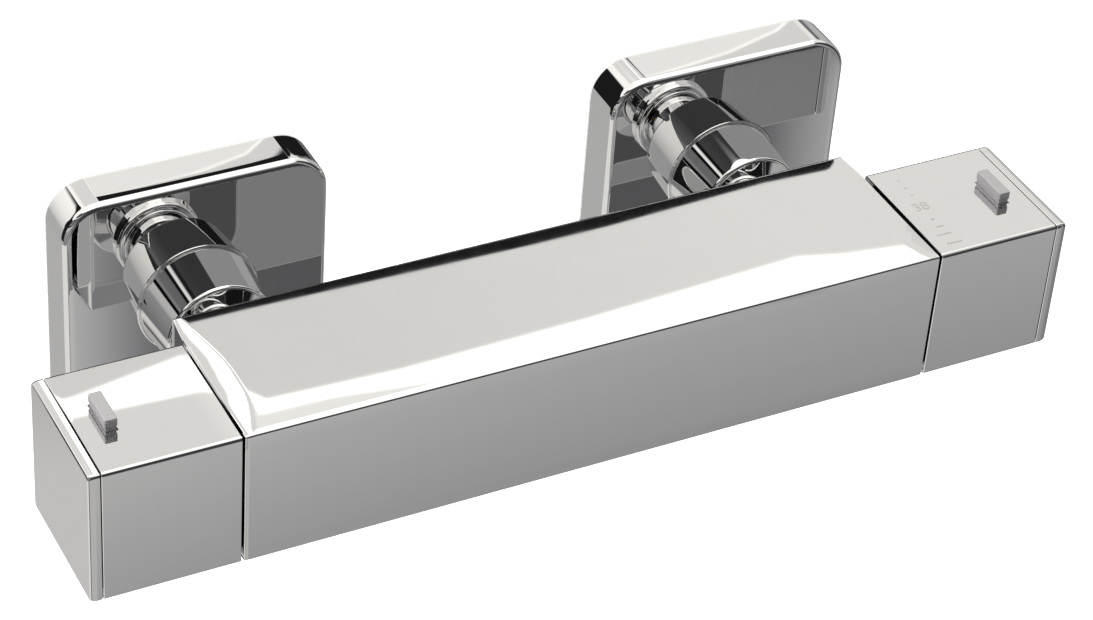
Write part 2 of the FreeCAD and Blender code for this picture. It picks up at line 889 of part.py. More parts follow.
def wall_union(x):
    """Offset connector from the coupling nut's thread down to the wall thread."""
    hex_end = union_shoulder + union_hex_width
    thread_start = wall_distance - wall_thread_start
    thread_end = wall_distance + wall_thread_reach
    drop = -union_offset
    hexagonal = hexagon(union_hex, union_shoulder, hex_end, Vector(0, 1, 0))
    hexagonal.translate(Vector(x, 0, 0))
    solid = rod_y(union_radius, union_start, union_shoulder, x).fuse([
        hexagonal,
        rod_y(union_body_radius, hex_end, thread_start, x, drop),
        rod_y(wall_thread_radius, thread_start, thread_end, x, drop),
    ])
    return solid.cut([
        rod_y(union_bore, union_start - seam, hex_end, x),
        rod_y(wall_thread_bore, union_shoulder + seam, thread_end + seam, x, drop),
    ])


def rounded_square(side, corner, start, end, x):
    half_side = side / 2
    slab = block((x - half_side, x + half_side), (start, end), (-half_side, half_side))
    return slab.makeFillet(corner, lengthwise(slab, Vector(0, 1, 0)))


def wall_plate(x):
    """Pressed square cover, open at the back, with a lipped hole for the coupling nut."""
    plate = rounded_square(plate_side, plate_corner, plate_front, plate_back, x)
    rim = [e for e in plate.Edges if e.BoundBox.YMax < plate_front + plate_edge / 2]
    plate = plate.makeFillet(plate_edge, rim)
    edge = nut_radius + plate_hole_gap
    rise, top = plate_bead, plate_bead_width / 3
    plate = plate.fuse(spun_y([
        (plate_front + rise, edge - top), (plate_front - rise / 2, edge - top),
        (plate_front - rise / 2, edge), (plate_front - rise, edge + top),
        (plate_front - rise, edge + 2 * top), (plate_front, edge + 3 * top),
        (plate_front + rise, edge + 3 * top),
    ], x))
    inside = rounded_square(plate_side - 2 * plate_wall, plate_corner - plate_wall,
                            plate_front + plate_wall, plate_back, x)
    hole = rod_y(edge, plate_front - rise, plate_back, x)
    return plate.cut([inside, hole])


def wall_plate_seal(x):
    outer = rounded_square(plate_side, plate_corner, plate_back, wall_distance, x)
    inner = rounded_square(plate_side - 2 * plate_seal_width,
                           plate_corner - plate_seal_width, plate_back, wall_distance, x)
    return outer.cut(inner)


# ---- outlet

def outlet_nipple():
    top = -half + outlet_socket_depth - outlet_seal
    upper = outlet_socket_radius - seat_clearance
    under = -half - push_gap
    bottom = -half - outlet_reach
    nipple = rod_z(upper, under, top, 0, outlet_y)
    nipple = nipple.fuse(rod_z(outlet_radius, bottom, under, 0, outlet_y))
    bore = outlet_bore - outlet_seal
    return nipple.cut(rod_z(bore, bottom, top, 0, outlet_y))


def outlet_washer():
    top = -half + outlet_socket_depth
    outer = rod_z(outlet_socket_radius - seat_clearance, top - outlet_seal, top, 0, outlet_y)
    return outer.cut(rod_z(outlet_bore, top - outlet_seal, top, 0, outlet_y))


# ---- write every piece

save("valve_body", valve_body())

save("thermostat_sleeve", thermostat_sleeve())
save("thermostat_rings", thermostat_rings())
save("thermostat_nut", thermostat_nut())
save("thermostat_shuttle", thermostat_shuttle())
save("wax_element", wax_element())
save("return_spring", return_coil())
save("push_cup", push_cup())
save("overtravel_spring", overtravel_coil())
save("carriage_nut", carriage_nut())
save("temperature_spindle", temperature_spindle())

fixed_place, turning_place, drive_place = disc_places()
save("flow_headwork", mirrored(flow_headwork()))
save("flow_ring", mirrored(o_ring_x(flow_bore, flow_ring_x())))
save("disc_seal", mirrored(disc_seal()))
save("fixed_disc", mirrored(ceramic_disc(fixed_place, 10)))
save("turning_disc", mirrored(ceramic_disc(turning_place, 100)))
save("flow_spindle", mirrored(flow_spindle()))

save("temperature_stop_ring", stop_ring(temperature_lug_angle))
save("flow_stop_ring", mirrored(stop_ring(flow_lug_angle)))
for name, place in (("temperature", lambda shape: shape), ("flow", mirrored)):
    save(name + "_handle", place(handle_shell()))
    save(name + "_cap", place(end_cap()))
    save(name + "_carrier", place(handle_carrier()))
    save(name + "_screw", place(handle_screw()))
    save(name + "_button", place(button()))
    save(name + "_button_spring", place(button_coil()))

for name, x in (("hot", -half_pitch), ("cold", half_pitch)):
    save(name + "_tail", inlet_tail(x))
    save(name + "_check_cage", check_cage(x))
    save(name + "_check_poppet", check_poppet(x))
    save(name + "_check_spring", check_coil(x))
    save(name + "_coupling_nut", coupling_nut(x))
    save(name + "_filter_washer", filter_washer(x))
    save(name + "_wall_union", wall_union(x))
    save(name + "_wall_plate", wall_plate(x))
    save(name + "_wall_plate_seal", wall_plate_seal(x))

save("outlet_nipple", outlet_nipple())
save("outlet_washer", outlet_washer())
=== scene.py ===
import json
import math

import bmesh
import bpy
from mathutils import Euler, Matrix, Vector


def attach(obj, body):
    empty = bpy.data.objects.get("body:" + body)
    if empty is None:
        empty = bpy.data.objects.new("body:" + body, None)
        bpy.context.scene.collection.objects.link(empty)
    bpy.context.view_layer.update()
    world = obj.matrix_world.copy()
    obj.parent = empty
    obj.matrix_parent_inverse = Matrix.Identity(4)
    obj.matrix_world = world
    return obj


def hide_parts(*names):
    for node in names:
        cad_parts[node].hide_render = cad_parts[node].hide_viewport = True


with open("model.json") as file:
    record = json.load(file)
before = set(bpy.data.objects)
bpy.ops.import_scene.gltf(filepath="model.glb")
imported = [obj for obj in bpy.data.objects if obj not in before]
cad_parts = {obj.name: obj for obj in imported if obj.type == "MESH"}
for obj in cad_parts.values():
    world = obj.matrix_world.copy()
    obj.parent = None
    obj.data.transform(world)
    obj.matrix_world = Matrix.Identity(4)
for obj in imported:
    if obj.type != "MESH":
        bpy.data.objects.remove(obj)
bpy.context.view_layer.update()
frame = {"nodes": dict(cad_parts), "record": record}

print("frame loaded:", len(frame["nodes"]), "nodes")

mm = 0.001
axisY = -70.0  # the handles' axis, in front of the wall at Y = 0
collection = bpy.context.scene.collection
slotOfNode = {s["node"]: s["material_slot"] for s in frame["record"]["subparts"]}


# materials

def linear(code):
    values = [int(code[i:i + 2], 16) / 255 for i in (1, 3, 5)]
    return tuple(v / 12.92 if v <= 0.04045 else ((v + 0.055) / 1.055) ** 2.4
                 for v in values) + (1.0,)


def addNode(tree, kind, inputs=None, **settings):
    node = tree.nodes.new(kind)
    for key, value in settings.items():
        setattr(node, key, value)
    for key, value in (inputs or {}).items():
        if isinstance(value, bpy.types.NodeSocket):
            tree.links.new(value, node.inputs[key])
        else:
            node.inputs[key].default_value = value
    return node


# what a short row name stands for: node kind, input keys in order, settings
rowKinds = {
    "step": ("ShaderNodeMapRange", ("Value", "From Min", "From Max"),
             {"interpolation_type": "SMOOTHSTEP"}),
    "range": ("ShaderNodeMapRange", ("Value", "From Min", "From Max", "To Min", "To Max"), {}),
    "mix": ("ShaderNodeMix", ("Factor", 2, 3), {"data_type": "FLOAT"}),
}


# adds rows of (name, operation, values...), where a value may name an earlier row
def addRows(tree, made, rows):
    for name, operation, *values in rows:
        kind, keys, settings = rowKinds.get(
            operation, ("ShaderNodeMath", (0, 1, 2), {"operation": operation}))
        inputs = {key: made.get(value, value) for key, value in zip(keys, values)}
        made[name] = addNode(tree, kind, inputs, **settings).outputs[0]


def newMaterial(name):
    material = bpy.data.materials.new(name)
    material.use_nodes = True
    tree = material.node_tree
    tree.nodes.clear()
    shader = addNode(tree, "ShaderNodeBsdfPrincipled")
    output = addNode(tree, "ShaderNodeOutputMaterial")
    tree.links.new(shader.outputs["BSDF"], output.inputs["Surface"])
    place = addNode(tree, "ShaderNodeTexCoord")
    return material, tree, shader, place.outputs["Object"]


def newFinish(name, colour, shade, metallic, roughness, spread, grain, stretch, bump):
    material, tree, shader, place = newMaterial(name)
    turned = addNode(tree, "ShaderNodeMapping", {"Vector": place, "Scale": stretch})
    noise = addNode(tree, "ShaderNodeTexNoise", {
        "Vector": turned.outputs["Vector"], "Scale": 1 / (grain * mm), "Detail": 3.0,
        "Roughness": 0.55})
    soft = addNode(tree, "ShaderNodeMapRange", {
        "Value": noise.outputs["Fac"], "From Min": 0.3, "From Max": 0.7,
        "To Min": roughness - spread, "To Max": roughness + spread})
    tint = addNode(tree, "ShaderNodeMix", {
        "Factor": noise.outputs["Fac"], 6: linear(colour), 7: linear(shade)},
        data_type="RGBA")
    lift = addNode(tree, "ShaderNodeBump", {
        "Height": noise.outputs["Fac"], "Strength": bump[0], "Distance": bump[1] * mm})
    tree.links.new(tint.outputs[2], shader.inputs["Base Color"])
    tree.links.new(soft.outputs["Result"], shader.inputs["Roughness"])
    if bump[0]:
        tree.links.new(lift.outputs["Normal"], shader.inputs["Normal"])
    shader.inputs["Metallic"].default_value = metallic
    return material


# each has its name, two colours, metallic, roughness and its spread, the grain in mm, how the
# grain is stretched, and its bump's strength and depth in mm
finishes = {
    # bright chrome plate on polished brass: a clear mirror with a faint buffing haze
    "polished_chrome": newFinish("Chrome, electroplated and buffed", "#F0F0F0", "#ECECEC",
                                 1.0, 0.011, 0.003, 9.0, (1, 1, 1), (0.0, 0.01)),
    # bare brass from the lathe: warm, with fine rings that blur its gloss
    "turned_brass": newFinish("Brass, turned", "#D9B978", "#C29E58",
                              1.0, 0.26, 0.06, 0.9, (6, 1, 1), (0.25, 0.02)),
    # acrylonitrile butadiene styrene from a lightly sparked mould: satin grey
    "grey_plastic": newFinish("ABS, moulded satin", "#AEACAE", "#A7A5A7",
                              0.0, 0.38, 0.05, 0.35, (1, 1, 1), (0.12, 0.01)),
    # natural acetal: milky, slightly waxy
    "white_plastic": newFinish("Acetal, moulded", "#E6E5E0", "#DAD9D2",
                               0.0, 0.42, 0.05, 0.6, (1, 1, 1), (0.10, 0.01)),
    # glass-filled PPS: near black, dull, with the fibres' fine mottling
    "black_plastic": newFinish("PPS, moulded glass-filled", "#2B2B2D", "#212123",
                               0.0, 0.52, 0.08, 0.4, (1, 4, 4), (0.2, 0.01)),
    # machined stainless: cool and slightly brushed
    "stainless_steel": newFinish("Stainless steel, machined", "#C4C4C2", "#B2B2B0",
                                 1.0, 0.24, 0.06, 0.7, (5, 1, 1), (0.2, 0.01)),
    # drawn wire: bright with lengthwise streaks
    "spring_steel": newFinish("Spring steel, drawn", "#BDBDBC", "#A6A6A5",
                              1.0, 0.3, 0.06, 0.4, (1, 1, 4), (0.15, 0.01)),
    # EPDM rubber: black, soft sheen
    "seal_rubber": newFinish("EPDM, moulded", "#1B1B1B", "#242424",
                             0.0, 0.6, 0.08, 0.8, (1, 1, 1), (0.2, 0.01)),
    # closed-cell polyethylene foam: white, open-textured where it was cut
    "seal_foam": newFinish("Foam, die cut", "#E2E2DF", "#D6D6D3",
                           0.0, 0.85, 0.05, 0.6, (1, 1, 1), (0.7, 0.08)),
    # lapped alumina: off-white, close to glossy
    "disc_ceramic": newFinish("Alumina, lapped", "#F0ECE4", "#E6E1D7",
                              0.0, 0.16, 0.04, 1.2, (1, 1, 1), (0.05, 0.01)),
    # marks burnt into the plate: a matt grey
    "scale_marks": newFinish("Chrome, laser marked", "#C9C6C1", "#C1BEB9",
                             0.7, 0.4, 0.05, 0.3, (1, 1, 1), (0.0, 0.01)),
}

for name, node in frame["nodes"].items():
    node.data.materials.clear()
    node.data.materials.append(finishes[slotOfNode[name]])
print("materials made:", len(finishes))


# mesh helpers

sharpAngle, faceWeight = 34, 80  # for the shading of every piece


# joins a mesh, in mm about the handles' axis, to its CAD body, in metres; a mark gets no weighted
# normals
def finishPiece(name, mesh, slotName, body, nodes=(), isMark=False):
    mesh.transform(Matrix.Scale(mm, 4) @ Matrix.Translation((0, axisY, 0)))
    mesh.materials.clear()
    mesh.materials.append(finishes[slotName])
    mesh.shade_smooth()
    mesh.set_sharp_from_angle(angle=math.radians(sharpAngle))
    piece = bpy.data.objects.new(name, mesh)
    collection.objects.link(piece)
    if not isMark:
        modifier = piece.modifiers.new("weights", "WEIGHTED_NORMAL")
        modifier.keep_sharp = True
        modifier.weight = faceWeight
        bakeModifiers(piece)
    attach(piece, body)
    if nodes:
        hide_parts(*nodes)


def bakeModifiers(piece):
    bpy.context.view_layer.update()
    graph = bpy.context.evaluated_depsgraph_get()
    made = bpy.data.meshes.new_from_object(piece.evaluated_get(graph))
    piece.modifiers.clear()
    old = piece.data
    piece.data = made
    bpy.data.meshes.remove(old)


mergeGap = 0.0005  # points nearer than this become one


def meshFromBmesh(bm, name):
    bmesh.ops.remove_doubles(bm, verts=bm.verts, dist=mergeGap)
    bmesh.ops.recalc_face_normals(bm, faces=bm.faces)
    mesh = bpy.data.meshes.new(name)
    bm.to_mesh(mesh)
    bm.free()
    return mesh


# skins a row of equal rings; a closed row joins its ends, and a capped one gets end faces
def addRings(bm, rings, closed=False, capped=True):
    rows = [[bm.verts.new(p) for p in ring] for ring in rings]
    pairs = list(zip(rows, rows[1:])) + ([(rows[-1], rows[0])] if closed else [])
    for a, b in pairs:
        for i in range(len(a)):
            j = (i + 1) % len(a)
            bm.faces.new((a[i], a[j], b[j], b[i]))
    if capped and not closed:
        bm.faces.new(rows[0][::-1])
        bm.faces.new(rows[-1])


leastCorner = 0.02


# points round a square with rounded corners; support keeps the sides' shading flat
def squareRing(half, corner, arcSteps, sideSteps, support=0.0):
    corner = max(corner, leastCorner)
    inner = half - corner
    centres = [(inner, inner), (-inner, inner), (-inner, -inner), (inner, -inner)]
    shares = [i / sideSteps for i in range(1, sideSteps)]
    if support:
        shares = [support / (2 * inner)] + shares + [1 - support / (2 * inner)]
    points = []
    for quarter, (cx, cy) in enumerate(centres):
        for i in range(arcSteps + 1):
            angle = math.pi / 2 * (quarter + i / arcSteps)
            points.append((cx + corner * math.cos(angle), cy + corner * math.sin(angle)))
        nx, ny = centres[(quarter + 1) % 4]
        px, py = points[-1]
        points += [(px + (nx - cx) * t, py + (ny - cy) * t) for t in shares]
    return points


def arc(radius, start, end, steps):
    for i in range(steps + 1):
        angle = math.radians(start + (end - start) * i / steps)
        yield radius * math.cos(angle), radius * math.sin(angle)


def turnedPoints(radius, count):
    return [(radius * math.cos(math.tau * i / count), radius * math.sin(math.tau * i / count))
            for i in range(count)]


def solidFromRings(rings, name="cutter", **options):
    bm = bmesh.new()
    addRings(bm, rings, **options)
    return meshFromBmesh(bm, name)


def rodRings(radius, start, end, axis, x=0.0, y=0.0, z=0.0, count=64):
    place = {"x": lambda a, b, d: (d, y + a, z + b),
             "y": lambda a, b, d: (x + a, d, z + b),
             "z": lambda a, b, d: (x + a, y + b, d)}[axis]
    return [[place(a, b, d) for a, b in turnedPoints(radius, count)] for d in (start, end)]


def boxRings(x, y, z):
    corners = ((y[0], z[0]), (y[1], z[0]), (y[1], z[1]), (y[0], z[1]))
    return [[(d, a, b) for a, b in corners] for d in x]


# cuts from a mesh, or joins to it, other closed meshes
def combined(mesh, others, operation):
    base = bpy.data.objects.new("base", mesh)
    collection.objects.link(base)
    tools = []
    for other in others:
        tool = bpy.data.objects.new("tool", other)
        collection.objects.link(tool)
        tools.append(tool)
        modifier = base.modifiers.new("cut", "BOOLEAN")
        modifier.operation = operation
        modifier.solver = "EXACT"
        modifier.object = tool
    bakeModifiers(base)
    made = base.data
    bpy.data.objects.remove(base)
    for tool in tools:
        bpy.data.objects.remove(tool)
    return made


def smoothStep(value, low, high):
    t = min(1.0, max(0.0, (value - low) / (high - low)))
    return t * t * (3 - 2 * t)


# valve body

bar = {
    "half": 19.0, "endX": 93.9, "rearY": 28.95, "rearLean": 0.9, "edge": 0.5,
    "rearEdge": 0.8, "support": 0.12, "bevel": 0.18, "endShrink": 0.93, "leanLength": 12,
    "buffed": 0.04, "buffedMore": 0.0015, "blend": 0.15, "buffedHeight": 15,
    "fineStep": 0.35, "fineSteps": 20, "innerSteps": 26,
}
inletX, outletY = 75.0, 4.65
fineCount = 96  # facets round the wide bores, nuts and threads
# what is bored out of the bar, as (radius, start, end, axis, other places)
bores = [
    (14.5, 79.9, 95, "x", {"count": fineCount}),  # the thermostat's neck and chamber
    (12.5, 29.8, 80.5, "x", {"count": fineCount}),
    (5.0, -54.5, 30.5, "x", {}),  # mixed water, to the flow control
    (12.5, -95, -82.9, "x", {"count": fineCount}),  # the flow control's neck and chamber
    (10.5, -83.5, -53.9, "x", {"count": fineCount}),
    (9.5, 20.45, 29.5, "y", {"x": -inletX}),  # the tails' sockets
    (9.5, 20.45, 29.5, "y", {"x": inletX}),
    (4.0, -inletX, 44.99, "x", {"y": 21}),  # hot and cold water along the rear
    (4.0, 61.0, inletX, "x", {"y": 21}),
    (4.0, 0, 21, "y", {"x": 45.0}),  # and forward to the thermostat
    (4.0, 0, 21, "y", {"x": 61.0}),
    (8.5, -20, -14.6, "z", {"y": outletY}),  # the outlet
    (7.0, -15, -6.5, "z", {"y": outletY}),
]
# where buffing starts to take the top down near an end, as (y, x)
buffedFrom = [(-19, 91.6), (-14, 89.8), (-9, 88.3), (-4, 87.5), (5, 87.3), (10, 87.6),
              (15, 88.5), (20, 89.6), (25, 91.2), (28.95, 92.8)]


def between(places, where):
    for (a, first), (b, second) in zip(places, places[1:]):
        if where <= b:
            return first + (second - first) * max(0.0, (where - a) / (b - a))
    return places[-1][1]


def buffedAway(x, y):
    beyond = max(0.0, abs(x) - between(buffedFrom, y))
    soft = min(beyond, bar["blend"])
    drop = bar["buffed"] * soft ** 2 / (2 * bar["blend"])
    beyond -= soft
    return drop + bar["buffed"] * beyond + bar["buffedMore"] * beyond ** 2


# one section of the bar, as (y, z) points from the middle of the front face
def barLoop(x):
    half, edge, rearEdge, rear = bar["half"], bar["edge"], bar["rearEdge"], bar["rearY"]
    frontSteps, topSteps, rearSteps = 5, 30, 6
    upper = [(-half, (half - edge) * i / frontSteps) for i in range(frontSteps)]
    for c, s in arc(edge, 180, 90, 6):
        upper.append((-half + edge + c, half - edge + s))
    start, stop = -half + edge, rear - rearEdge
    for i in range(1, topSteps):
        upper.append((start + (stop - start) * i / topSteps, half))
    upper.append((stop - bar["support"], half))
    for c, s in arc(rearEdge, 90, 0, 8):
        upper.append((stop + c, half - rearEdge + s))
    for i in range(1, rearSteps):
        upper.append((rear, (half - rearEdge) * (1 - i / rearSteps)))
    upper = [(y, z - buffedAway(x, y) * min(1.0, z / bar["buffedHeight"])) for y, z in upper]
    lower = [(y, -z) for y, z in reversed(upper[1:])]
    return upper + [(rear, 0.0)] + lower


def insetLoop(loop, distance):
    moved = []
    for i, (y, z) in enumerate(loop):
        ay, az = loop[i - 1]
        by, bz = loop[(i + 1) % len(loop)]
        ty, tz = by - ay, bz - az
        length = math.hypot(ty, tz) or 1.0
        moved.append((y + tz / length * distance, z - ty / length * distance))
    return moved


def leaning(x, y):
    lean = bar["rearLean"] * max(0.0, (y - bar["half"]) / (bar["rearY"] - bar["half"]))
    share = smoothStep(abs(x), bar["endX"] - bar["leanLength"], bar["endX"])
    return x - math.copysign(lean * share, x)


def barBody():
    end, bevel, shrink = bar["endX"], bar["bevel"], bar["endShrink"]
    # sections lie close together near the ends, where the top is buffed
    nearEnd = [end - bevel] + [end - bar["fineStep"] * i for i in range(1, bar["fineSteps"] + 1)]
    nearEnd += [end - 9, end - 11, end - 13]
    inner, steps = nearEnd[-1], bar["innerSteps"]
    stations = nearEnd + [inner - 2 * inner * i / steps for i in range(1, steps)]
    stations += [-s for s in reversed(nearEnd)]
    rings = []
    for x in stations:
        rings.append([(leaning(x, y), y, z) for y, z in barLoop(x)])
    for sign, where in ((1, 0), (-1, len(rings))):
        loop = insetLoop(barLoop(sign * end), bevel)
        rings.insert(where, [(leaning(sign * end, y), y, z) for y, z in loop])
        rings.insert(0 if sign > 0 else len(rings),
                     [(leaning(sign * end, y * shrink), y * shrink, z * shrink)
                      for y, z in loop])
    bm = bmesh.new()
    addRings(bm, rings)
    mesh = meshFromBmesh(bm, "valveBody")
    cutters = [solidFromRings(rodRings(radius, start, stop, axis, **places))
               for radius, start, stop, axis, places in bores]
    return combined(mesh, cutters, "DIFFERENCE")


finishPiece("valveBody", barBody(), "polished_chrome", "fixed_valve", ["valve_body"])
print("body made")


# handles and caps

sleeve = {"half": 19.0, "bay": 17.0, "start": 94.6, "end": 128.9, "edge": 0.8,
          "slotWidth": 3.5, "slotLength": 11.3, "slotX": 121.4, "slotZ": (16.0, 20.0),
          "rim": 0.15, "band": 1.2, "support": 0.12}


def handleSleeve(side):
    start, end, edge, rim = sleeve["start"], sleeve["end"], sleeve["edge"], sleeve["rim"]
    outer, bay, band = sleeve["half"], sleeve["bay"], sleeve["band"]
    rows = [(start, bay, 0.0), (start, outer - rim, edge - rim), (start + rim, outer, edge),
            (start + band, outer, edge), (end - band, outer, edge), (end - rim, outer, edge),
            (end, outer - rim, edge - rim), (end, bay, 0.0)]
    rings = [[(side * x, a, b) for a, b in squareRing(half, corner, 6, 8, sleeve["support"])]
             for x, half, corner in rows]
    mesh = solidFromRings(rings, "handle", closed=True)
    w, l = sleeve["slotWidth"] / 2, sleeve["slotLength"] / 2
    x = side * sleeve["slotX"]
    slot = boxRings((x - w, x + w), (-l, l), sleeve["slotZ"])
    return combined(mesh, [solidFromRings(slot)], "DIFFERENCE")


cap = {"start": 129.15, "end": 132.2, "half": 19.0, "edge": 0.8, "bevel": 0.12, "support": 0.12,
       "slope": 1.5, "slopeDrop": 0.27, "rim": 0.5, "rimTilt": 20, "rimStep": 10,
       "spigot": 16.9, "hollow": 15.3, "spigotStart": 127.7}


def endCap(side):
    start, edge, bevel, outer = cap["start"], cap["edge"], cap["bevel"], cap["half"]
    rows = [(start, cap["hollow"], 0.0), (cap["spigotStart"], cap["hollow"], 0.0),
            (cap["spigotStart"], cap["spigot"], 0.0), (start, cap["spigot"], 0.0),
            (start, outer - bevel, edge - bevel), (start + bevel, outer, edge)]
    # the sides slope in before the rim turns over to the end face
    rim, slope, drop, slopeSteps = cap["rim"], cap["slope"], cap["slopeDrop"], 6
    lean = math.radians(cap["rimTilt"])
    turnX = cap["end"] - rim * (1 - math.sin(lean))
    for i in range(slopeSteps + 1):
        t = i / slopeSteps
        rows.append((turnX - slope * (1 - t), outer - drop * t ** 2, edge))
    for c, s in arc(rim, cap["rimTilt"] + cap["rimStep"], 90, 7):
        rows.append((cap["end"] - rim + s, outer - drop - rim * math.cos(lean) + c, edge))
    rings = [[(side * x, a, b) for a, b in squareRing(half, corner, 6, 4, cap["support"])]
             for x, half, corner in rows]
    return solidFromRings(rings, "cap")


# each handle's side and body, and its button's body
knobs = {"temperature": (1, "temperature_knob", "safety_button"),
         "flow": (-1, "flow_knob", "economy_button")}
for name, (side, body, _) in knobs.items():
    finishPiece(name + "Handle", handleSleeve(side), "polished_chrome", body, [name + "_handle"])
    finishPiece(name + "EndCap", endCap(side), "polished_chrome", body, [name + "_cap"])
print("handles and caps made")


# buttons

pressButton = {
    "x": 121.4, "width": 3.2, "length": 11.0, "top": 22.5, "floor": 15.7, "flange": 1.2,
    "rim": 1.0, "corner": 0.35, "leastCorner": 0.05, "crest": 0.3, "legHalf": 1.5,
    "legX": (99.35, 100.65), "footX": (95.55, 100.65), "footZ": (13.05, 14.35),
    # the sides' ledge, as (height, inset)
    "ledge": [(18.6, 0.0), (18.7, 0.2), (20.24, 0.2), (20.3, 0.14), (20.32, 0.03), (20.38, 0.0),
              (21.0, 0.0)],
}


def buttonRing(z, inset, side, corner):
    a = pressButton["width"] / 2 - inset
    b = pressButton["length"] / 2 - inset
    corner = max(corner - inset * 0.5, pressButton["leastCorner"])
    points = []
    cornerSteps = 4
    for quarter in range(4):
        cx = (a - corner) * (1 if quarter in (0, 3) else -1)
        cy = (b - corner) * (1 if quarter in (0, 1) else -1)
        for i in range(cornerSteps + 1):
            angle = math.pi / 2 * (quarter + i / cornerSteps)
            points.append((side * pressButton["x"] + cx + corner * math.cos(angle),
                           cy + corner * math.sin(angle), z))
    return points


def stopButton(side):
    crest, corner = pressButton["crest"], pressButton["corner"]
    top, floor = pressButton["top"], pressButton["floor"]
    rows = [(floor, 0.0)] + pressButton["ledge"]
    for c, s in arc(crest, 0, 90, 5):
        rows.append((top - crest + s, crest - c))
    mesh = solidFromRings([buttonRing(z, inset, side, corner) for z, inset in rows], "button")
    x, rim = side * pressButton["x"], pressButton["rim"]
    w, l = pressButton["width"] / 2 + rim, pressButton["length"] / 2 + rim
    flange = (floor, floor + pressButton["flange"])
    legX, footX, footZ = pressButton["legX"], pressButton["footX"], pressButton["footZ"]
    legY = (-pressButton["legHalf"], pressButton["legHalf"])
    extras = [boxRings((x - w, x + w), (-l, l), flange),
              boxRings(sorted((side * legX[0], x)), legY, flange),
              boxRings(sorted(side * d for d in legX), legY, (footZ[0], flange[1])),
              boxRings(sorted(side * d for d in footX), legY, footZ)]
    return combined(mesh, [solidFromRings(r) for r in extras], "UNION")


for name, (side, _, buttonBody) in knobs.items():
    finishPiece(name + "Button", stopButton(side), "grey_plastic", buttonBody, [name + "_button"])
print("buttons made")


# threads

halfInch = {"radius": 10.48, "depth": 1.1, "pitch": 1.814}
threeQuarterInch = {"radius": 13.2, "depth": 0.9, "pitch": 1.814}
threadRunOut, rowsPerPitch = 1.2, 10


def rootOf(thread):
    return thread["radius"] - thread["depth"]


# geometry nodes for a male thread about Z: a tube whose radius follows the pitch
def threadTree():
    tree = bpy.data.node_groups.new("maleThread", "GeometryNodeTree")
    face = tree.interface
    sockets = {}
    for name, kind in (("Radius", "Float"), ("Depth", "Float"), ("Pitch", "Float"),
                       ("Length", "Float"), ("Run Out", "Float"), ("Around", "Int"),
                       ("Rows", "Int"), ("Finish", "Material")):
        socket = face.new_socket(name=name, in_out="INPUT", socket_type="NodeSocket" + kind)
        sockets[name] = socket.identifier
    face.new_socket(name="Geometry", in_out="OUTPUT", socket_type="NodeSocketGeometry")
    given = addNode(tree, "NodeGroupInput").outputs
    grid = addNode(tree, "GeometryNodeMeshGrid", {
        "Size X": 1.0, "Size Y": 1.0, "Vertices X": given["Around"],
        "Vertices Y": given["Rows"]})
    where = addNode(tree, "GeometryNodeInputPosition")
    split = addNode(tree, "ShaderNodeSeparateXYZ", {"Vector": where.outputs["Position"]})

    made = {"x": split.outputs["X"], "y": split.outputs["Y"], "long": given["Length"],
            "pitch": given["Pitch"], "outer": given["Radius"], "deep": given["Depth"],
            "runOut": given["Run Out"]}
    addRows(tree, made, [
        ("turn", "ADD", "x", 0.5),
        ("share", "ADD", "y", 0.5),
        ("angle", "MULTIPLY", "turn", math.tau),
        ("height", "MULTIPLY", "share", "long"),
        ("pitches", "DIVIDE", "height", "pitch"),
        ("phase", "SUBTRACT", "pitches", "turn"),
        ("wave", "PINGPONG", "phase", 0.5),
        ("ridge", "range", "wave", 0.08, 0.42, 0.0, 1.0),
        ("startFade", "range", "height", 0.0, "runOut"),
        ("left", "SUBTRACT", "long", "height"),
        ("endFade", "range", "left", 0.0, "runOut"),
        ("fade", "MULTIPLY", "startFade", "endFade"),
        ("raised", "MULTIPLY", "ridge", "fade"),
        ("cut", "SUBTRACT", 1.0, "raised"),
        ("sunk", "MULTIPLY", "cut", "deep"),
        ("radius", "SUBTRACT", "outer", "sunk"),
        ("cosine", "COSINE", "angle"),
        ("sine", "SINE", "angle"),
        ("across", "MULTIPLY", "radius", "cosine"),
        ("up", "MULTIPLY", "radius", "sine"),
    ])
    spot = addNode(tree, "ShaderNodeCombineXYZ", {
        "X": made["across"], "Y": made["up"], "Z": made["height"]})
    shaped = addNode(tree, "GeometryNodeSetPosition", {
        "Geometry": grid.outputs["Mesh"], "Position": spot.outputs["Vector"]})
    joined = addNode(tree, "GeometryNodeMergeByDistance", {
        "Geometry": shaped.outputs["Geometry"], "Distance": 0.001})
    real = addNode(tree, "GeometryNodeRealizeInstances", {
        "Geometry": joined.outputs["Geometry"]})
    painted = addNode(tree, "GeometryNodeSetMaterial", {
        "Geometry": real.outputs["Geometry"], "Material": given["Finish"]})
    addNode(tree, "NodeGroupOutput", {"Geometry": painted.outputs["Geometry"]})
    return tree, sockets


# the mesh that a geometry node tree makes with these values
def grown(tree, sockets, values):
    seed = bpy.data.objects.new("seed", bpy.data.meshes.new("seed"))
    collection.objects.link(seed)
    modifier = seed.modifiers.new("grow", "NODES")
    modifier.node_group = tree
    for name, value in values.items():
        modifier[sockets[name]] = value
    bpy.context.view_layer.update()
    graph = bpy.context.evaluated_depsgraph_get()
    made = bpy.data.meshes.new_from_object(seed.evaluated_get(graph))
    seed.modifiers.clear()
    bpy.data.objects.remove(seed)
    return made


maleThread, threadSockets = threadTree()


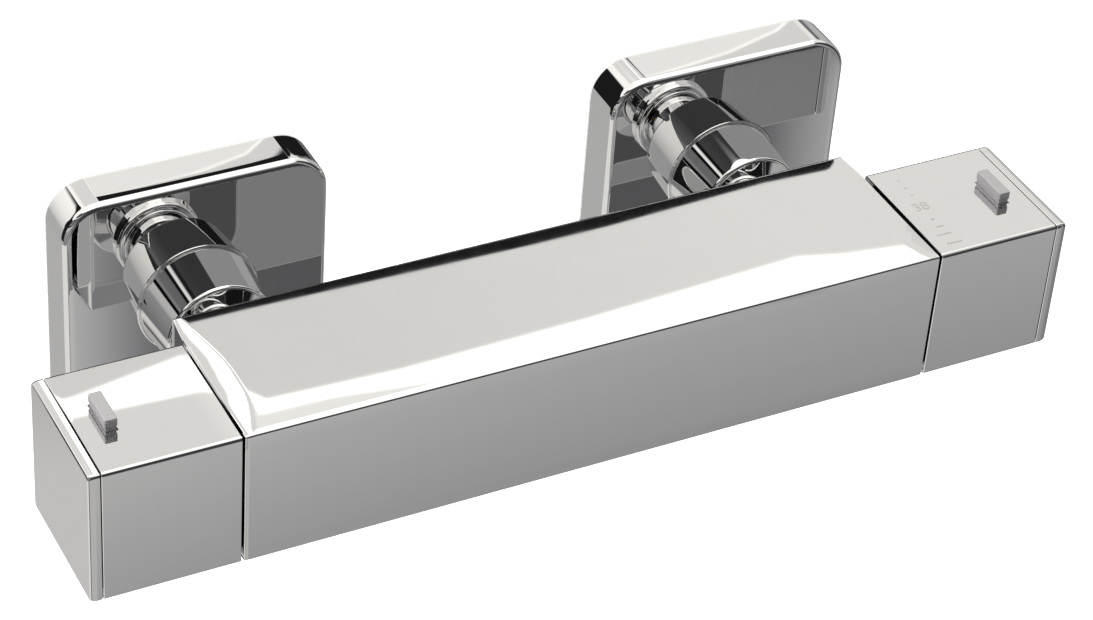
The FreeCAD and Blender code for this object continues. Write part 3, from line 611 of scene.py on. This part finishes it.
# adds a thread tube to a mesh in the making, placed by a matrix from along Z
def threadOn(bm, thread, length, finish, matrix):
    made = grown(maleThread, threadSockets, {
        "Radius": thread["radius"], "Depth": thread["depth"], "Pitch": thread["pitch"],
        "Length": length, "Run Out": threadRunOut, "Around": fineCount + 1,
        "Rows": int(length / thread["pitch"] * rowsPerPitch) + 1, "Finish": finishes[finish]})
    made.transform(matrix)
    bm.from_mesh(made)
    bpy.data.meshes.remove(made)


# skins (distance, radius) rows about an axis; place turns (a, b, d) into a point
def turnedRows(bm, rows, place, closed=False):
    rings = [[place(a, b, d) for a, b in turnedPoints(radius, fineCount)] for d, radius in rows]
    addRings(bm, rings, closed=closed, capped=False)


# inlets

def alongY(x, z=0.0):
    return lambda a, b, d: (x + a, d, z + b)


# rounds chosen corners of a (distance, radius) outline
def rounded(rows, corners, steps=4):
    made = []
    for i, (d, r) in enumerate(rows):
        size = corners.get(i)
        if not size:
            made.append((d, r))
            continue
        here = Vector((d, r))
        before = (Vector(rows[i - 1]) - here).normalized()
        after = (Vector(rows[(i + 1) % len(rows)]) - here).normalized()
        half = before.angle(after) / 2
        reach = size / math.tan(half)
        centre = here + (before + after).normalized() * (size / math.sin(half))
        a, b = here + before * reach - centre, here + after * reach - centre
        for k in range(steps + 1):
            made.append(tuple(centre + a.slerp(b, k / steps)))
    return made


couplingSleeve = {"start": 40.3, "end": 58.3, "radius": 15.0, "bore": 13.3,
                  "lipEnd": 43.3, "lipHole": 9.4, "rounds": {1: 1.8, 2: 0.4, 0: 0.3}}


def couplingNut(x):
    start, end, lipEnd = couplingSleeve["start"], couplingSleeve["end"], couplingSleeve["lipEnd"]
    radius, bore, hole = couplingSleeve["radius"], couplingSleeve["bore"], couplingSleeve["lipHole"]
    rows = [(start, hole), (start, radius), (end, radius), (end, bore), (lipEnd, bore),
            (lipEnd, hole)]
    rows = rounded(rows, couplingSleeve["rounds"], 7)
    bm = bmesh.new()
    turnedRows(bm, rows, alongY(x), closed=True)
    return meshFromBmesh(bm, "couplingNut")


tail = {"start": 20.45, "plug": 9.4, "collar": 11.0, "collarEnd": 30.55, "neck": 9.2,
        "flange": 12.8, "flangeStart": 43.5, "end": 46.0, "narrow": 6.6, "narrowEnd": 32.9,
        "bore": 7.6, "rounds": {4: 0.5, 5: 0.4}}


def inletTail(x):
    start, face, end = tail["start"], bar["rearY"], tail["end"]
    rows = [(start, tail["narrow"]), (start, tail["plug"]), (face, tail["plug"]),
            (face, tail["collar"]), (tail["collarEnd"], tail["collar"]),
            (tail["collarEnd"], tail["neck"]), (tail["flangeStart"], tail["neck"]),
            (tail["flangeStart"], tail["flange"]), (end, tail["flange"]), (end, tail["bore"]),
            (tail["narrowEnd"], tail["bore"]), (tail["narrowEnd"], tail["narrow"])]
    rows = rounded(rows, tail["rounds"])
    bm = bmesh.new()
    turnedRows(bm, rows, alongY(x), closed=True)
    return meshFromBmesh(bm, "inletTail")


# offset connector: a 3/4 inch thread, a spanner hexagon, and a 1/2 inch thread
union = {
    "drop": -6.0, "frontStart": 48.0, "frontEnd": 59.1, "frontBore": 8.0, "frontBevel": 0.6,
    "frontThread": 10.0, "rearStart": 62.8, "rearEnd": 88.0, "rearBore": 7.0,
    "collar": 12.2, "collarEnd": 68.0, "collarBevel": 0.4, "threadStart": 70.2,
    "rearThread": 17.0, "tip": 9.1, "tipLength": 0.3,
    # the spanner hexagon, as (distance, radius to its corners), and where it is bored
    "hexagon": [(59.0, 15.0), (59.45, 15.55), (63.1, 15.55), (63.5, 15.0)],
    "frontCut": (58, 63.5), "rearCut": (60, 65),
}


# the end with the 3/4 inch thread, which the coupling nut screws on
def unionFront(x):
    start, end, bore = union["frontStart"], union["frontEnd"], union["frontBore"]
    root, bevel = rootOf(threeQuarterInch), union["frontBevel"]
    threadStart = start + bevel
    turn = Matrix.Rotation(math.radians(-90), 4, "X")
    bm = bmesh.new()
    threadOn(bm, threeQuarterInch, union["frontThread"], "turned_brass",
             Matrix.Translation((x, threadStart, 0)) @ turn)
    turnedRows(bm, [(end, bore), (start, bore), (start, root - bevel), (threadStart, root)],
               alongY(x))
    turnedRows(bm, [(threadStart + union["frontThread"], root), (end, root), (end, bore)],
               alongY(x))
    return meshFromBmesh(bm, "unionFront")


# the lower end with the 1/2 inch thread, which goes into the wall
def unionRear(x):
    start, end, bore, drop = (union[k] for k in ("rearStart", "rearEnd", "rearBore", "drop"))
    root, bevel, threadStart = rootOf(halfInch), union["collarBevel"], union["threadStart"]
    collar, collarEnd = union["collar"], union["collarEnd"]
    turn = Matrix.Rotation(math.radians(-90), 4, "X")
    bm = bmesh.new()
    threadOn(bm, halfInch, union["rearThread"], "turned_brass",
             Matrix.Translation((x, threadStart, drop)) @ turn)
    turnedRows(bm, [(start, bore), (start, collar), (collarEnd - bevel, collar),
                    (collarEnd, collar - bevel), (collarEnd, root), (threadStart, root)],
               alongY(x, drop))
    turnedRows(bm, [(threadStart + union["rearThread"], root), (end - union["tipLength"], root),
                    (end, union["tip"]), (end, bore), (start, bore)], alongY(x, drop))
    return meshFromBmesh(bm, "unionRear")


def wallUnion(x):
    flats = []
    for d, r in union["hexagon"]:
        corners = [math.tau * i / 6 for i in range(6)]
        flats.append([(x + r * math.sin(a), d, r * math.cos(a)) for a in corners])
    cuts = [rodRings(union["frontBore"], *union["frontCut"], "y", x=x),
            rodRings(union["rearBore"], *union["rearCut"], "y", x=x, z=union["drop"])]
    hexagon = combined(solidFromRings(flats), [solidFromRings(c) for c in cuts], "DIFFERENCE")
    return combined(hexagon, [unionFront(x), unionRear(x)], "UNION")


plate = {
    "half": 35.0, "corner": 10.0, "front": 57.0, "back": 69.2, "wall": 1.6, "sideRow": 66.0,
    "edgeDepth": 1.9, "edgeDrop": 1.5, "dish": 2.5, "hotSlope": 0.016, "support": 0.15,
    "hole": 15.3, "bead": 0.4, "beadWidth": 0.9, "beadFoot": 0.25, "faceInset": 0.3,
    "faceRings": (0.97, 0.75), "arcSteps": 14, "sideSteps": 14,
}


def plateRing(inset):
    return squareRing(plate["half"] - inset, plate["corner"] - inset, plate["arcSteps"],
                      plate["sideSteps"], plate["support"])


def wallPlate(x, slopedIn):
    front, depth, drop = plate["front"], plate["edgeDepth"], plate["edgeDrop"]
    # the sides slope in a hair's breadth just before the edge
    shares = [i / 6 for i in range(6)]
    rows = [(plate["back"], 0.0), (plate["sideRow"], 0.0)]
    rows += [(front + depth + plate["dish"] * (1 - t), slopedIn * t ** 3) for t in shares]
    for c, s in arc(1.0, 0, 90, 16):
        rows.append((front + depth * (1 - s), slopedIn + drop * (1 - c)))
    rings = [[(x + a, y, b) for a, b in plateRing(inset)] for y, inset in rows]
    outline = plateRing(drop + plate["faceInset"])
    for shrink in plate["faceRings"]:
        rings.append([(x + a * shrink, front, b * shrink) for a, b in outline])

    def hole(radius, y):
        return [(x + a / math.hypot(a, b) * radius, y, b / math.hypot(a, b) * radius)
                for a, b in outline]

    def inner(y):
        return [(x + a, y, b) for a, b in plateRing(plate["wall"])]

    edge, width, wall = plate["hole"], plate["beadWidth"], plate["wall"]
    rings += [hole(edge + width + plate["beadFoot"], front), hole(edge + width, front)]
    for c, s in arc(1.0, 20, 180, 8):
        rings.append(hole(edge + width / 2 * (1 + c), front - plate["bead"] * s))
    rings += [hole(edge, front + wall), inner(front + wall), inner(plate["back"])]
    return solidFromRings(rings, "wallPlate", closed=True)


seal = {"end": 70.0, "border": 3.2}


def plateSeal(x):
    start, end = plate["back"], seal["end"]
    rings = []
    for inset, y in ((0, start), (0, end), (seal["border"], end), (seal["border"], start)):
        ring = squareRing(plate["half"] - inset, plate["corner"] - inset, 10, 8)
        rings.append([(x + a, y, b) for a, b in ring])
    return solidFromRings(rings, "plateSeal", closed=True)


for name, x, slope in (("hot", -inletX, plate["hotSlope"]), ("cold", inletX, 0.0)):
    for piece, mesh, finish, node in (
            ("CouplingNut", couplingNut(x), "polished_chrome", "_coupling_nut"),
            ("Tail", inletTail(x), "polished_chrome", "_tail"),
            ("WallUnion", wallUnion(x), "turned_brass", "_wall_union"),
            ("WallPlate", wallPlate(x, slope), "polished_chrome", "_wall_plate"),
            ("PlateSeal", plateSeal(x), "seal_foam", "_wall_plate_seal")):
        finishPiece(name + piece, mesh, finish, "fixed_valve", [name + node])
print("inlets made")


# outlet

nipple = {"top": -15.4, "spigot": 8.4, "shoulder": -19.1, "threadTop": -20.1, "thread": 8.4,
          "end": -29.0, "bore": 6.2, "bevel": 0.28}


def outletNipple():
    def alongZ(a, b, d):
        return a, outletY + b, d

    top, shoulder, threadTop, end = (nipple[k] for k in ("top", "shoulder", "threadTop", "end"))
    spigot, bore, bevel, root = nipple["spigot"], nipple["bore"], nipple["bevel"], rootOf(halfInch)
    turn = Matrix.Rotation(math.radians(180), 4, "X")
    bm = bmesh.new()
    threadOn(bm, halfInch, nipple["thread"], "polished_chrome",
             Matrix.Translation((0, outletY, threadTop)) @ turn)
    turnedRows(bm, [(threadTop, root), (shoulder, root), (shoulder, spigot), (top, spigot),
                    (top, bore), (end, bore), (end, root - bevel), (end + bevel, root),
                    (threadTop - nipple["thread"], root)], alongZ)
    return meshFromBmesh(bm, "outletNipple")


finishPiece("outletNipple", outletNipple(), "polished_chrome", "fixed_valve", ["outlet_nipple"])
print("outlet made")


# scale on the handle

scale = {
    "width": 0.45, "height": 0.03, "sunk": 0.01,
    # the marks beside the number, as (start, end, y)
    "marks": [(101.0, 101.6, 13.4), (101.0, 101.6, 9.9), (101.0, 101.6, 6.6),
              (100.2, 101.2, -4.4), (99.7, 101.8, -7.7), (97.9, 102.1, -11.0),
              (98.4, 102.8, -15.0)],
    "number": "38", "numberSize": 4.6, "numberX": 100.7, "numberY": 1.3, "numberHeight": 0.02,
}


def temperatureScale():
    top, half = sleeve["half"], scale["width"] / 2
    height = (top - scale["sunk"], top + scale["height"])
    bm = bmesh.new()
    for start, end, y in scale["marks"]:
        addRings(bm, boxRings((start, end), (y - half, y + half), height))
    return meshFromBmesh(bm, "temperatureScale")


finishPiece("temperatureScale", temperatureScale(), "scale_marks", "temperature_knob", isMark=True)


def scaleNumber():
    text = bpy.data.curves.new("scaleNumber", "FONT")
    text.body = scale["number"]
    text.size = scale["numberSize"]
    text.align_x = text.align_y = "CENTER"
    text.extrude = scale["numberHeight"]
    holder = bpy.data.objects.new("scaleNumber", text)
    collection.objects.link(holder)
    bpy.context.view_layer.update()
    graph = bpy.context.evaluated_depsgraph_get()
    mesh = bpy.data.meshes.new_from_object(holder.evaluated_get(graph))
    bpy.data.objects.remove(holder)
    height = sleeve["half"] + scale["sunk"]
    mesh.transform(Matrix.Translation((scale["numberX"], scale["numberY"], height)))
    return mesh


finishPiece("scaleNumber", scaleNumber(), "scale_marks", "temperature_knob", isMark=True)
print("scale made")


# camera

# the photograph's viewing place in metres, its turn in degrees, and its lens in mm
shot = {"place": (-0.326414, -0.635272, 0.509579), "turn": (52.748, -3.6642, -26.6721),
        "lens": 110.44, "sensor": 36.0, "clip": (0.01, 50)}
camera = bpy.data.objects.new("camera", bpy.data.cameras.new("camera"))
collection.objects.link(camera)
camera.data.sensor_width = shot["sensor"]
camera.data.lens = shot["lens"]
camera.data.clip_start, camera.data.clip_end = shot["clip"]
turn = Euler([math.radians(a) for a in shot["turn"]]).to_matrix().to_4x4()
camera.matrix_world = Matrix.Translation(shot["place"]) @ turn
bpy.context.scene.camera = camera


# studio

bpy.context.scene.view_settings.view_transform = "Standard"
bpy.context.scene.view_settings.look = "None"

ground = {"half": 12, "top": -1.6, "thickness": 0.02, "colour": "#F4F4F3", "glow": 1.0}  # metres
sides = (-ground["half"], ground["half"])
floorMesh = solidFromRings(
    boxRings(sides, sides, (ground["top"] - ground["thickness"], ground["top"])), "floor")
floor = bpy.data.objects.new("floor", floorMesh)
collection.objects.link(floor)
floorPaint = bpy.data.materials.new("Floor, pale")
floorPaint.use_nodes = True
floorShader = floorPaint.node_tree.nodes["Principled BSDF"]
floorShader.inputs["Base Color"].default_value = linear(ground["colour"])
floorShader.inputs["Roughness"].default_value = 0.9
floorShader.inputs["Emission Color"].default_value = linear("#FFFFFF")
floorShader.inputs["Emission Strength"].default_value = ground["glow"]
floorMesh.materials.append(floorPaint)
floor.visible_glossy = False

world = bpy.data.worlds.new("studio")
bpy.context.scene.world = world
world.use_nodes = True
room = world.node_tree
room.nodes.clear()


# sets a curve's (place, value) points, and gives the values its ends stand for
def drawCurve(node, low, high, points):
    bottom = min(p[1] for p in points) - 1
    top = max(p[1] for p in points) + 1
    line = node.mapping.curves[0]
    spots = [((x - low) / (high - low), (y - bottom) / (top - bottom)) for x, y in points]
    line.points[0].location, line.points[1].location = spots[0], spots[-1]
    for spot in spots[1:-1]:
        line.points.new(*spot)
    for point in line.points:
        point.handle_type = "VECTOR"
    node.mapping.update()
    return bottom, top


def setStops(ramp, stops):
    while len(ramp.elements) < len(stops):
        ramp.elements.new(0.5)
    for element, (height, shade) in zip(ramp.elements, stops):
        element.position = (height + 90) / 180
        element.color = (shade, shade, shade, 1)


look = addNode(room, "ShaderNodeTexCoord").outputs["Generated"]
lookX, lookY, lookZ = addNode(room, "ShaderNodeSeparateXYZ", {"Vector": look}).outputs
made = {"x": lookX, "y": lookY, "z": lookZ}
# the photograph's viewing place, in mm from the handles' axis and above the bar's top
eye = {"x": -326.4, "y": -565.3, "above": 490.6}
# the ceiling, as a mirror lying on the bar's top shows it, in mm about the handles' axis
addRows(room, made, [
    ("rise", "ARCSINE", "z"),
    ("height", "MULTIPLY", "rise", 180 / math.pi),
    ("aim", "ARCTAN2", "x", "y"),
    ("bearing", "MULTIPLY", "aim", 180 / math.pi),
    ("level", "MULTIPLY_ADD", "height", 1 / 180, 0.5),
    ("climb", "MAXIMUM", "z", 0.05),
    ("reachX", "DIVIDE", "x", "climb"),
    ("reachY", "DIVIDE", "y", "climb"),
    ("ceilingX", "MULTIPLY_ADD", "reachX", eye["above"], eye["x"]),
    ("ceilingY", "MULTIPLY_ADD", "reachY", eye["above"], eye["y"]),
])

# brightness by height above the horizon, in degrees, for each side of the room
studio = {
    "behind": [(-90, 0.25), (-33, 0.25), (-29, 0.16), (60, 0.16), (90, 1.0)],
    "left": [(-90, 0.6), (-40, 0.59), (-38.5, 0.48), (-30, 0.46), (-14, 0.47), (-8, 0.67),
             (1, 0.83), (9, 0.95), (30, 1.1), (90, 1.1)],
    "right": [(-90, 0.4), (-30, 0.35), (-8, 0.5), (21, 0.5), (28, 0.65), (90, 1.0)],
    "front": [(-90, 0.3), (-36, 0.1), (-18, 0.045), (55, 0.045), (60, 1.3), (90, 1.3)],
    "frontLeft": [(-90, 0.22), (-34, 0.22), (-3, 0.33), (1, 0.55), (10, 0.6), (11.5, 0.0),
                  (15, 0.0), (17, 0.3), (21, 0.17), (31, 0.17), (32.5, 0.0), (35.5, 0.0),
                  (36.5, 1.1), (39, 1.1), (40.5, 0.0), (43.5, 0.0), (45, 0.07), (55, 0.07),
                  (60, 1.3), (90, 1.3)],
}
for name, stops in studio.items():
    ramp = addNode(room, "ShaderNodeValToRGB", {"Fac": made["level"]})
    setStops(ramp.color_ramp, stops)
    made[name] = addNode(room, "ShaderNodeSeparateColor", {"Color": ramp.outputs[0]}).outputs[0]

# borders on the ceiling, as (ceilingX, ceilingY)
borders = {
    "whiteFrom": [(-160, 100), (-131, 100), (-129, 9.5), (-125, 9.5), (-97, 14.5), (-93, 14),
                  (-88, -2), (-84, -8), (-50, -9.5), (0, -8.5), (60, -5.5), (72, -9),
                  (88, -11.5), (92, -14.5), (94, -24), (200, -26)],
    "greyFrom": [(-160, -60), (-131, -60), (-129, 2.5), (-97, 0.5), (-93, -2), (-88, -12.5),
                 (-70, -13), (-30, -19), (40, -34), (200, -40)],
    "darkFrom": [(-160, 95), (-133, 95), (-131, 25.5), (-75, 25.5), (0, 23.5), (22, 23.5),
                 (68, 25.5), (87, 24.5), (93, 29.5), (97, 95), (200, 95)],
    "darkTo": [(-160, 31), (-107, 31), (-103, 79), (-94, 79), (-88, 76), (-80, 72.5),
               (-62, 71.5), (-52, 74), (-46, 78), (-41, 83), (-37, 86), (-27, 86), (-23, 31),
               (200, 31)],
    "sheenFrom": [(-160, 79), (-103, 79.5), (-85, 80.5), (-65, 82.5), (-50, 86), (-42, 92),
                  (20, 92), (30, 79), (52, 79.5), (70, 80.5), (90, 83), (108, 88), (116, 93),
                  (200, 95)],
}
# borders of the dark gap behind and of the panel in front, as (bearing, height)
gaps = {
    "gapLow": [(-60, -25), (-44, -25), (-42.3, -22), (-41.5, 12), (-39.5, 18), (-35, 25),
               (-31, 28.5), (-25, 32), (-21, 34), (-19.8, 39), (-14.5, 39), (-13.5, -10),
               (60, -10)],
    "gapHigh": [(-60, 31), (-41, 30), (-38, 29.5), (-34.5, 31.5), (-29, 34.5), (-22, 37),
                (-20, 37), (-14.5, 36.5), (-5, 34), (26, 34), (29, 32.5), (31, 29),
                (35.5, 24.5), (39.3, 17), (41.6, 9), (42.2, -11), (60, -11)],
}
panel = {"panelLow": [(100, 60), (124, 60), (127, -40), (141, -40), (142, 33), (150, 39),
                      (162.5, 47), (168, 60), (180, 60)]}
for place, low, high, group in (("ceilingX", -160, 200, borders), ("bearing", -60, 60, gaps),
                                ("bearing", 100, 180, panel)):
    across = addNode(room, "ShaderNodeMapRange", {
        "Value": made[place], "From Min": low, "From Max": high}).outputs[0]
    for name, points in group.items():
        curve = addNode(room, "ShaderNodeFloatCurve", {"Value": across})
        bottom, top = drawCurve(curve, low, high, points)
        addRows(room, made, [(name, "range", curve.outputs[0], 0.0, 1.0, bottom, top)])

glare, black = 1.6, 0.012
addRows(room, made, [
    # the ceiling's plain part, and the paler part over the plates with its thin bright line
    ("beige", "range", "ceilingX", -60.0, 60.0, 0.735, 0.82),
    ("overPlates", "step", "ceilingY", 70.0, 76.0),
    ("pastSheen", "SUBTRACT", "ceilingY", "sheenFrom"),
    ("sheenStep", "step", "pastSheen", -0.6, 0.6),
    ("plateTop", "mix", "sheenStep", 0.75, 0.91),
    ("sheenGap", "ABSOLUTE", "pastSheen"),
    ("sheenLine", "step", "sheenGap", 0.9, 0.3),
    ("plateSheen", "mix", "sheenLine", "plateTop", 1.15),
    ("plain", "mix", "overPlates", "beige", "plateSheen"),
    # towards the front: a white lamp, a grey haze, and white again over the front rim
    ("haze", "range", "ceilingX", -100.0, -92.0, 0.79, 0.93),
    ("pastWhite", "SUBTRACT", "ceilingY", "whiteFrom"),
    ("inGlare", "step", "pastWhite", 1.0, -1.0),
    ("bright", "mix", "inGlare", "plain", glare),
    ("pastGrey", "SUBTRACT", "ceilingY", "greyFrom"),
    ("pastSide", "step", "ceilingX", -149.0, -153.0),
    ("frontGrey", "step", "pastGrey", 1.0, -1.0),
    ("inHaze", "MAXIMUM", "frontGrey", "pastSide"),
    ("pale", "mix", "inHaze", "bright", "haze"),
    ("overRim", "step", "ceilingY", -19.2, -21.0),
    ("rimHere", "step", "ceilingX", -132.0, -130.0),
    ("rimPast", "step", "ceilingX", 94.0, 92.0),
    ("rimSpan", "MULTIPLY", "rimHere", "rimPast"),
    ("inRim", "MULTIPLY", "overRim", "rimSpan"),
    ("paleRim", "mix", "inRim", "pale", glare),
    # a black strip along the rear, wider over the left plate
    ("pastDark", "SUBTRACT", "ceilingY", "darkFrom"),
    ("darkStart", "step", "pastDark", -0.4, 0.4),
    ("pastBlack", "SUBTRACT", "ceilingY", "darkTo"),
    ("darkEnd", "step", "pastBlack", 3.0, 0.0),
    ("inDark", "MULTIPLY", "darkStart", "darkEnd"),
    ("ceiling", "mix", "inDark", "paleRim", black),
    # straight up, and below the ceiling the walls behind, on the left and on the right
    ("overhead", "step", "height", 43.0, 47.0),
    ("overShade", "range", "x", 0.475, 0.5, glare, 0.85),
    ("above", "mix", "overhead", "ceiling", "overShade"),
    ("belowCeiling", "step", "height", 24.0, 20.0),
    ("back", "mix", "belowCeiling", "above", "behind"),
    ("fromLeft", "step", "bearing", -17.0, -10.0),
    ("leftAndBack", "mix", "fromLeft", "left", "back"),
    ("toRight", "step", "bearing", 43.0, 45.0),
    ("rightLow", "step", "height", 30.0, 27.0),
    ("inRight", "MULTIPLY", "toRight", "rightLow"),
    ("aroundBack", "mix", "inRight", "leftAndBack", "right"),
    # a black gap in the wall behind
    ("pastLow", "SUBTRACT", "height", "gapLow"),
    ("pastHigh", "SUBTRACT", "height", "gapHigh"),
    ("gapStart", "step", "pastLow", -0.8, 0.8),
    ("gapEnd", "step", "pastHigh", 0.6, -0.6),
    ("inGap", "MULTIPLY", "gapStart", "gapEnd"),
    ("around", "mix", "inGap", "aroundBack", black),
    # in front: a dark wall with a grey panel on the right and thin lamps on the left
    ("pastPanel", "SUBTRACT", "height", "panelLow"),
    ("panelStart", "step", "pastPanel", -0.7, 0.7),
    ("panelEnd", "step", "height", 57.0, 55.0),
    ("inPanel", "MULTIPLY", "panelStart", "panelEnd"),
    ("frontWall", "mix", "inPanel", "front", 0.33),
    ("pastLeft", "step", "bearing", -130.0, -170.0),
    ("leftWall", "mix", "pastLeft", "frontLeft", "front"),
    ("leftHalf", "step", "bearing", 1.0, -1.0),
    ("walls", "mix", "leftHalf", "frontWall", "leftWall"),
    # the floor in front falls off to the right and starts below a sloping line
    ("floorLine", "MULTIPLY_ADD", "bearing", -0.24, -0.96),
    ("pastFloor", "SUBTRACT", "height", "floorLine"),
    ("fall", "MULTIPLY_ADD", "x", -0.41, 0.635),
    ("nearer", "range", "pastFloor", 0.0, -3.0, 1.0, 0.7),
    ("floorShade", "MULTIPLY", "fall", "nearer"),
    ("onFloor", "step", "pastFloor", 0.5, -0.5),
    ("farSide", "step", "bearing", 158.0, 161.5),
    ("nearSide", "step", "bearing", 147.0, 144.5),
    ("sides", "MAXIMUM", "farSide", "nearSide"),
    ("lowBand", "step", "height", -31.0, -33.0),
    ("sideBand", "MULTIPLY", "sides", "lowBand"),
    ("floorRight", "MAXIMUM", "onFloor", "sideBand"),
    ("rightHalf", "step", "bearing", -1.0, 1.0),
    ("floorHere", "MULTIPLY", "floorRight", "rightHalf"),
    ("frontShade", "mix", "floorHere", "walls", "floorShade"),
    # a bright floor on the left
    ("brightFrom", "step", "bearing", -50.0, -65.0),
    ("brightTo", "step", "bearing", -160.0, -148.0),
    ("brightSpan", "MULTIPLY", "brightFrom", "brightTo"),
    ("brightLow", "step", "height", -30.0, -34.0),
    ("inBright", "MULTIPLY", "brightSpan", "brightLow"),
    # the front half of the room, with a grey floor straight in front
    ("turnedAway", "ABSOLUTE", "bearing"),
    ("toFront", "step", "turnedAway", 84.0, 100.0),
    ("straightOn", "step", "turnedAway", 162.0, 165.0),
    ("lowHere", "step", "height", -34.0, -36.0),
    ("inFront", "MULTIPLY", "straightOn", "lowHere"),
    ("frontRound", "mix", "inFront", "frontShade", 0.5),
    ("room", "mix", "toFront", "around", "frontRound"),
    ("shade", "mix", "inBright", "room", 0.8),
    ("toneShare", "step", "shade", 0.0, 0.9),
])
tone = addNode(room, "ShaderNodeMix", {"Factor": made["toneShare"],
                                       6: linear("#FBFBFF"), 7: linear("#FFFDF8")},
               data_type="RGBA").outputs[2]
seen = addNode(room, "ShaderNodeLightPath").outputs["Is Camera Ray"]
studioShade = addNode(room, "ShaderNodeBackground", {
    "Color": tone, "Strength": made["shade"]})
plainShade = addNode(room, "ShaderNodeBackground", {
    "Color": linear("#FFFFFF"), "Strength": 1.0})
both = addNode(room, "ShaderNodeMixShader", {
    0: seen, 1: studioShade.outputs[0], 2: plainShade.outputs[0]})
addNode(room, "ShaderNodeOutputWorld", {"Surface": both.outputs[0]})


def softLight(name, place, target, size, power):
    light = bpy.data.lights.new(name, "AREA")
    light.shape = "DISK"
    light.size = size
    light.energy = power
    holder = bpy.data.objects.new(name, light)
    collection.objects.link(holder)
    holder.location = place
    aim = (Vector(target) - Vector(place)).to_track_quat("-Z", "Y")
    holder.rotation_mode = "QUATERNION"
    holder.rotation_quaternion = aim
    holder.visible_glossy = False
    holder.visible_camera = False


# both lights leave the chrome alone: the room gives its reflections
for name, place, target, size, power in (
        ("overheadLight", (-0.3, 0.25, 0.9), (0, -0.04, 0), 0.9, 6),
        ("leftLight", (-1.3, -0.1, 0.35), (0, -0.07, 0), 0.8, 7)):
    softLight(name, place, target, size, power)
print("studio made")
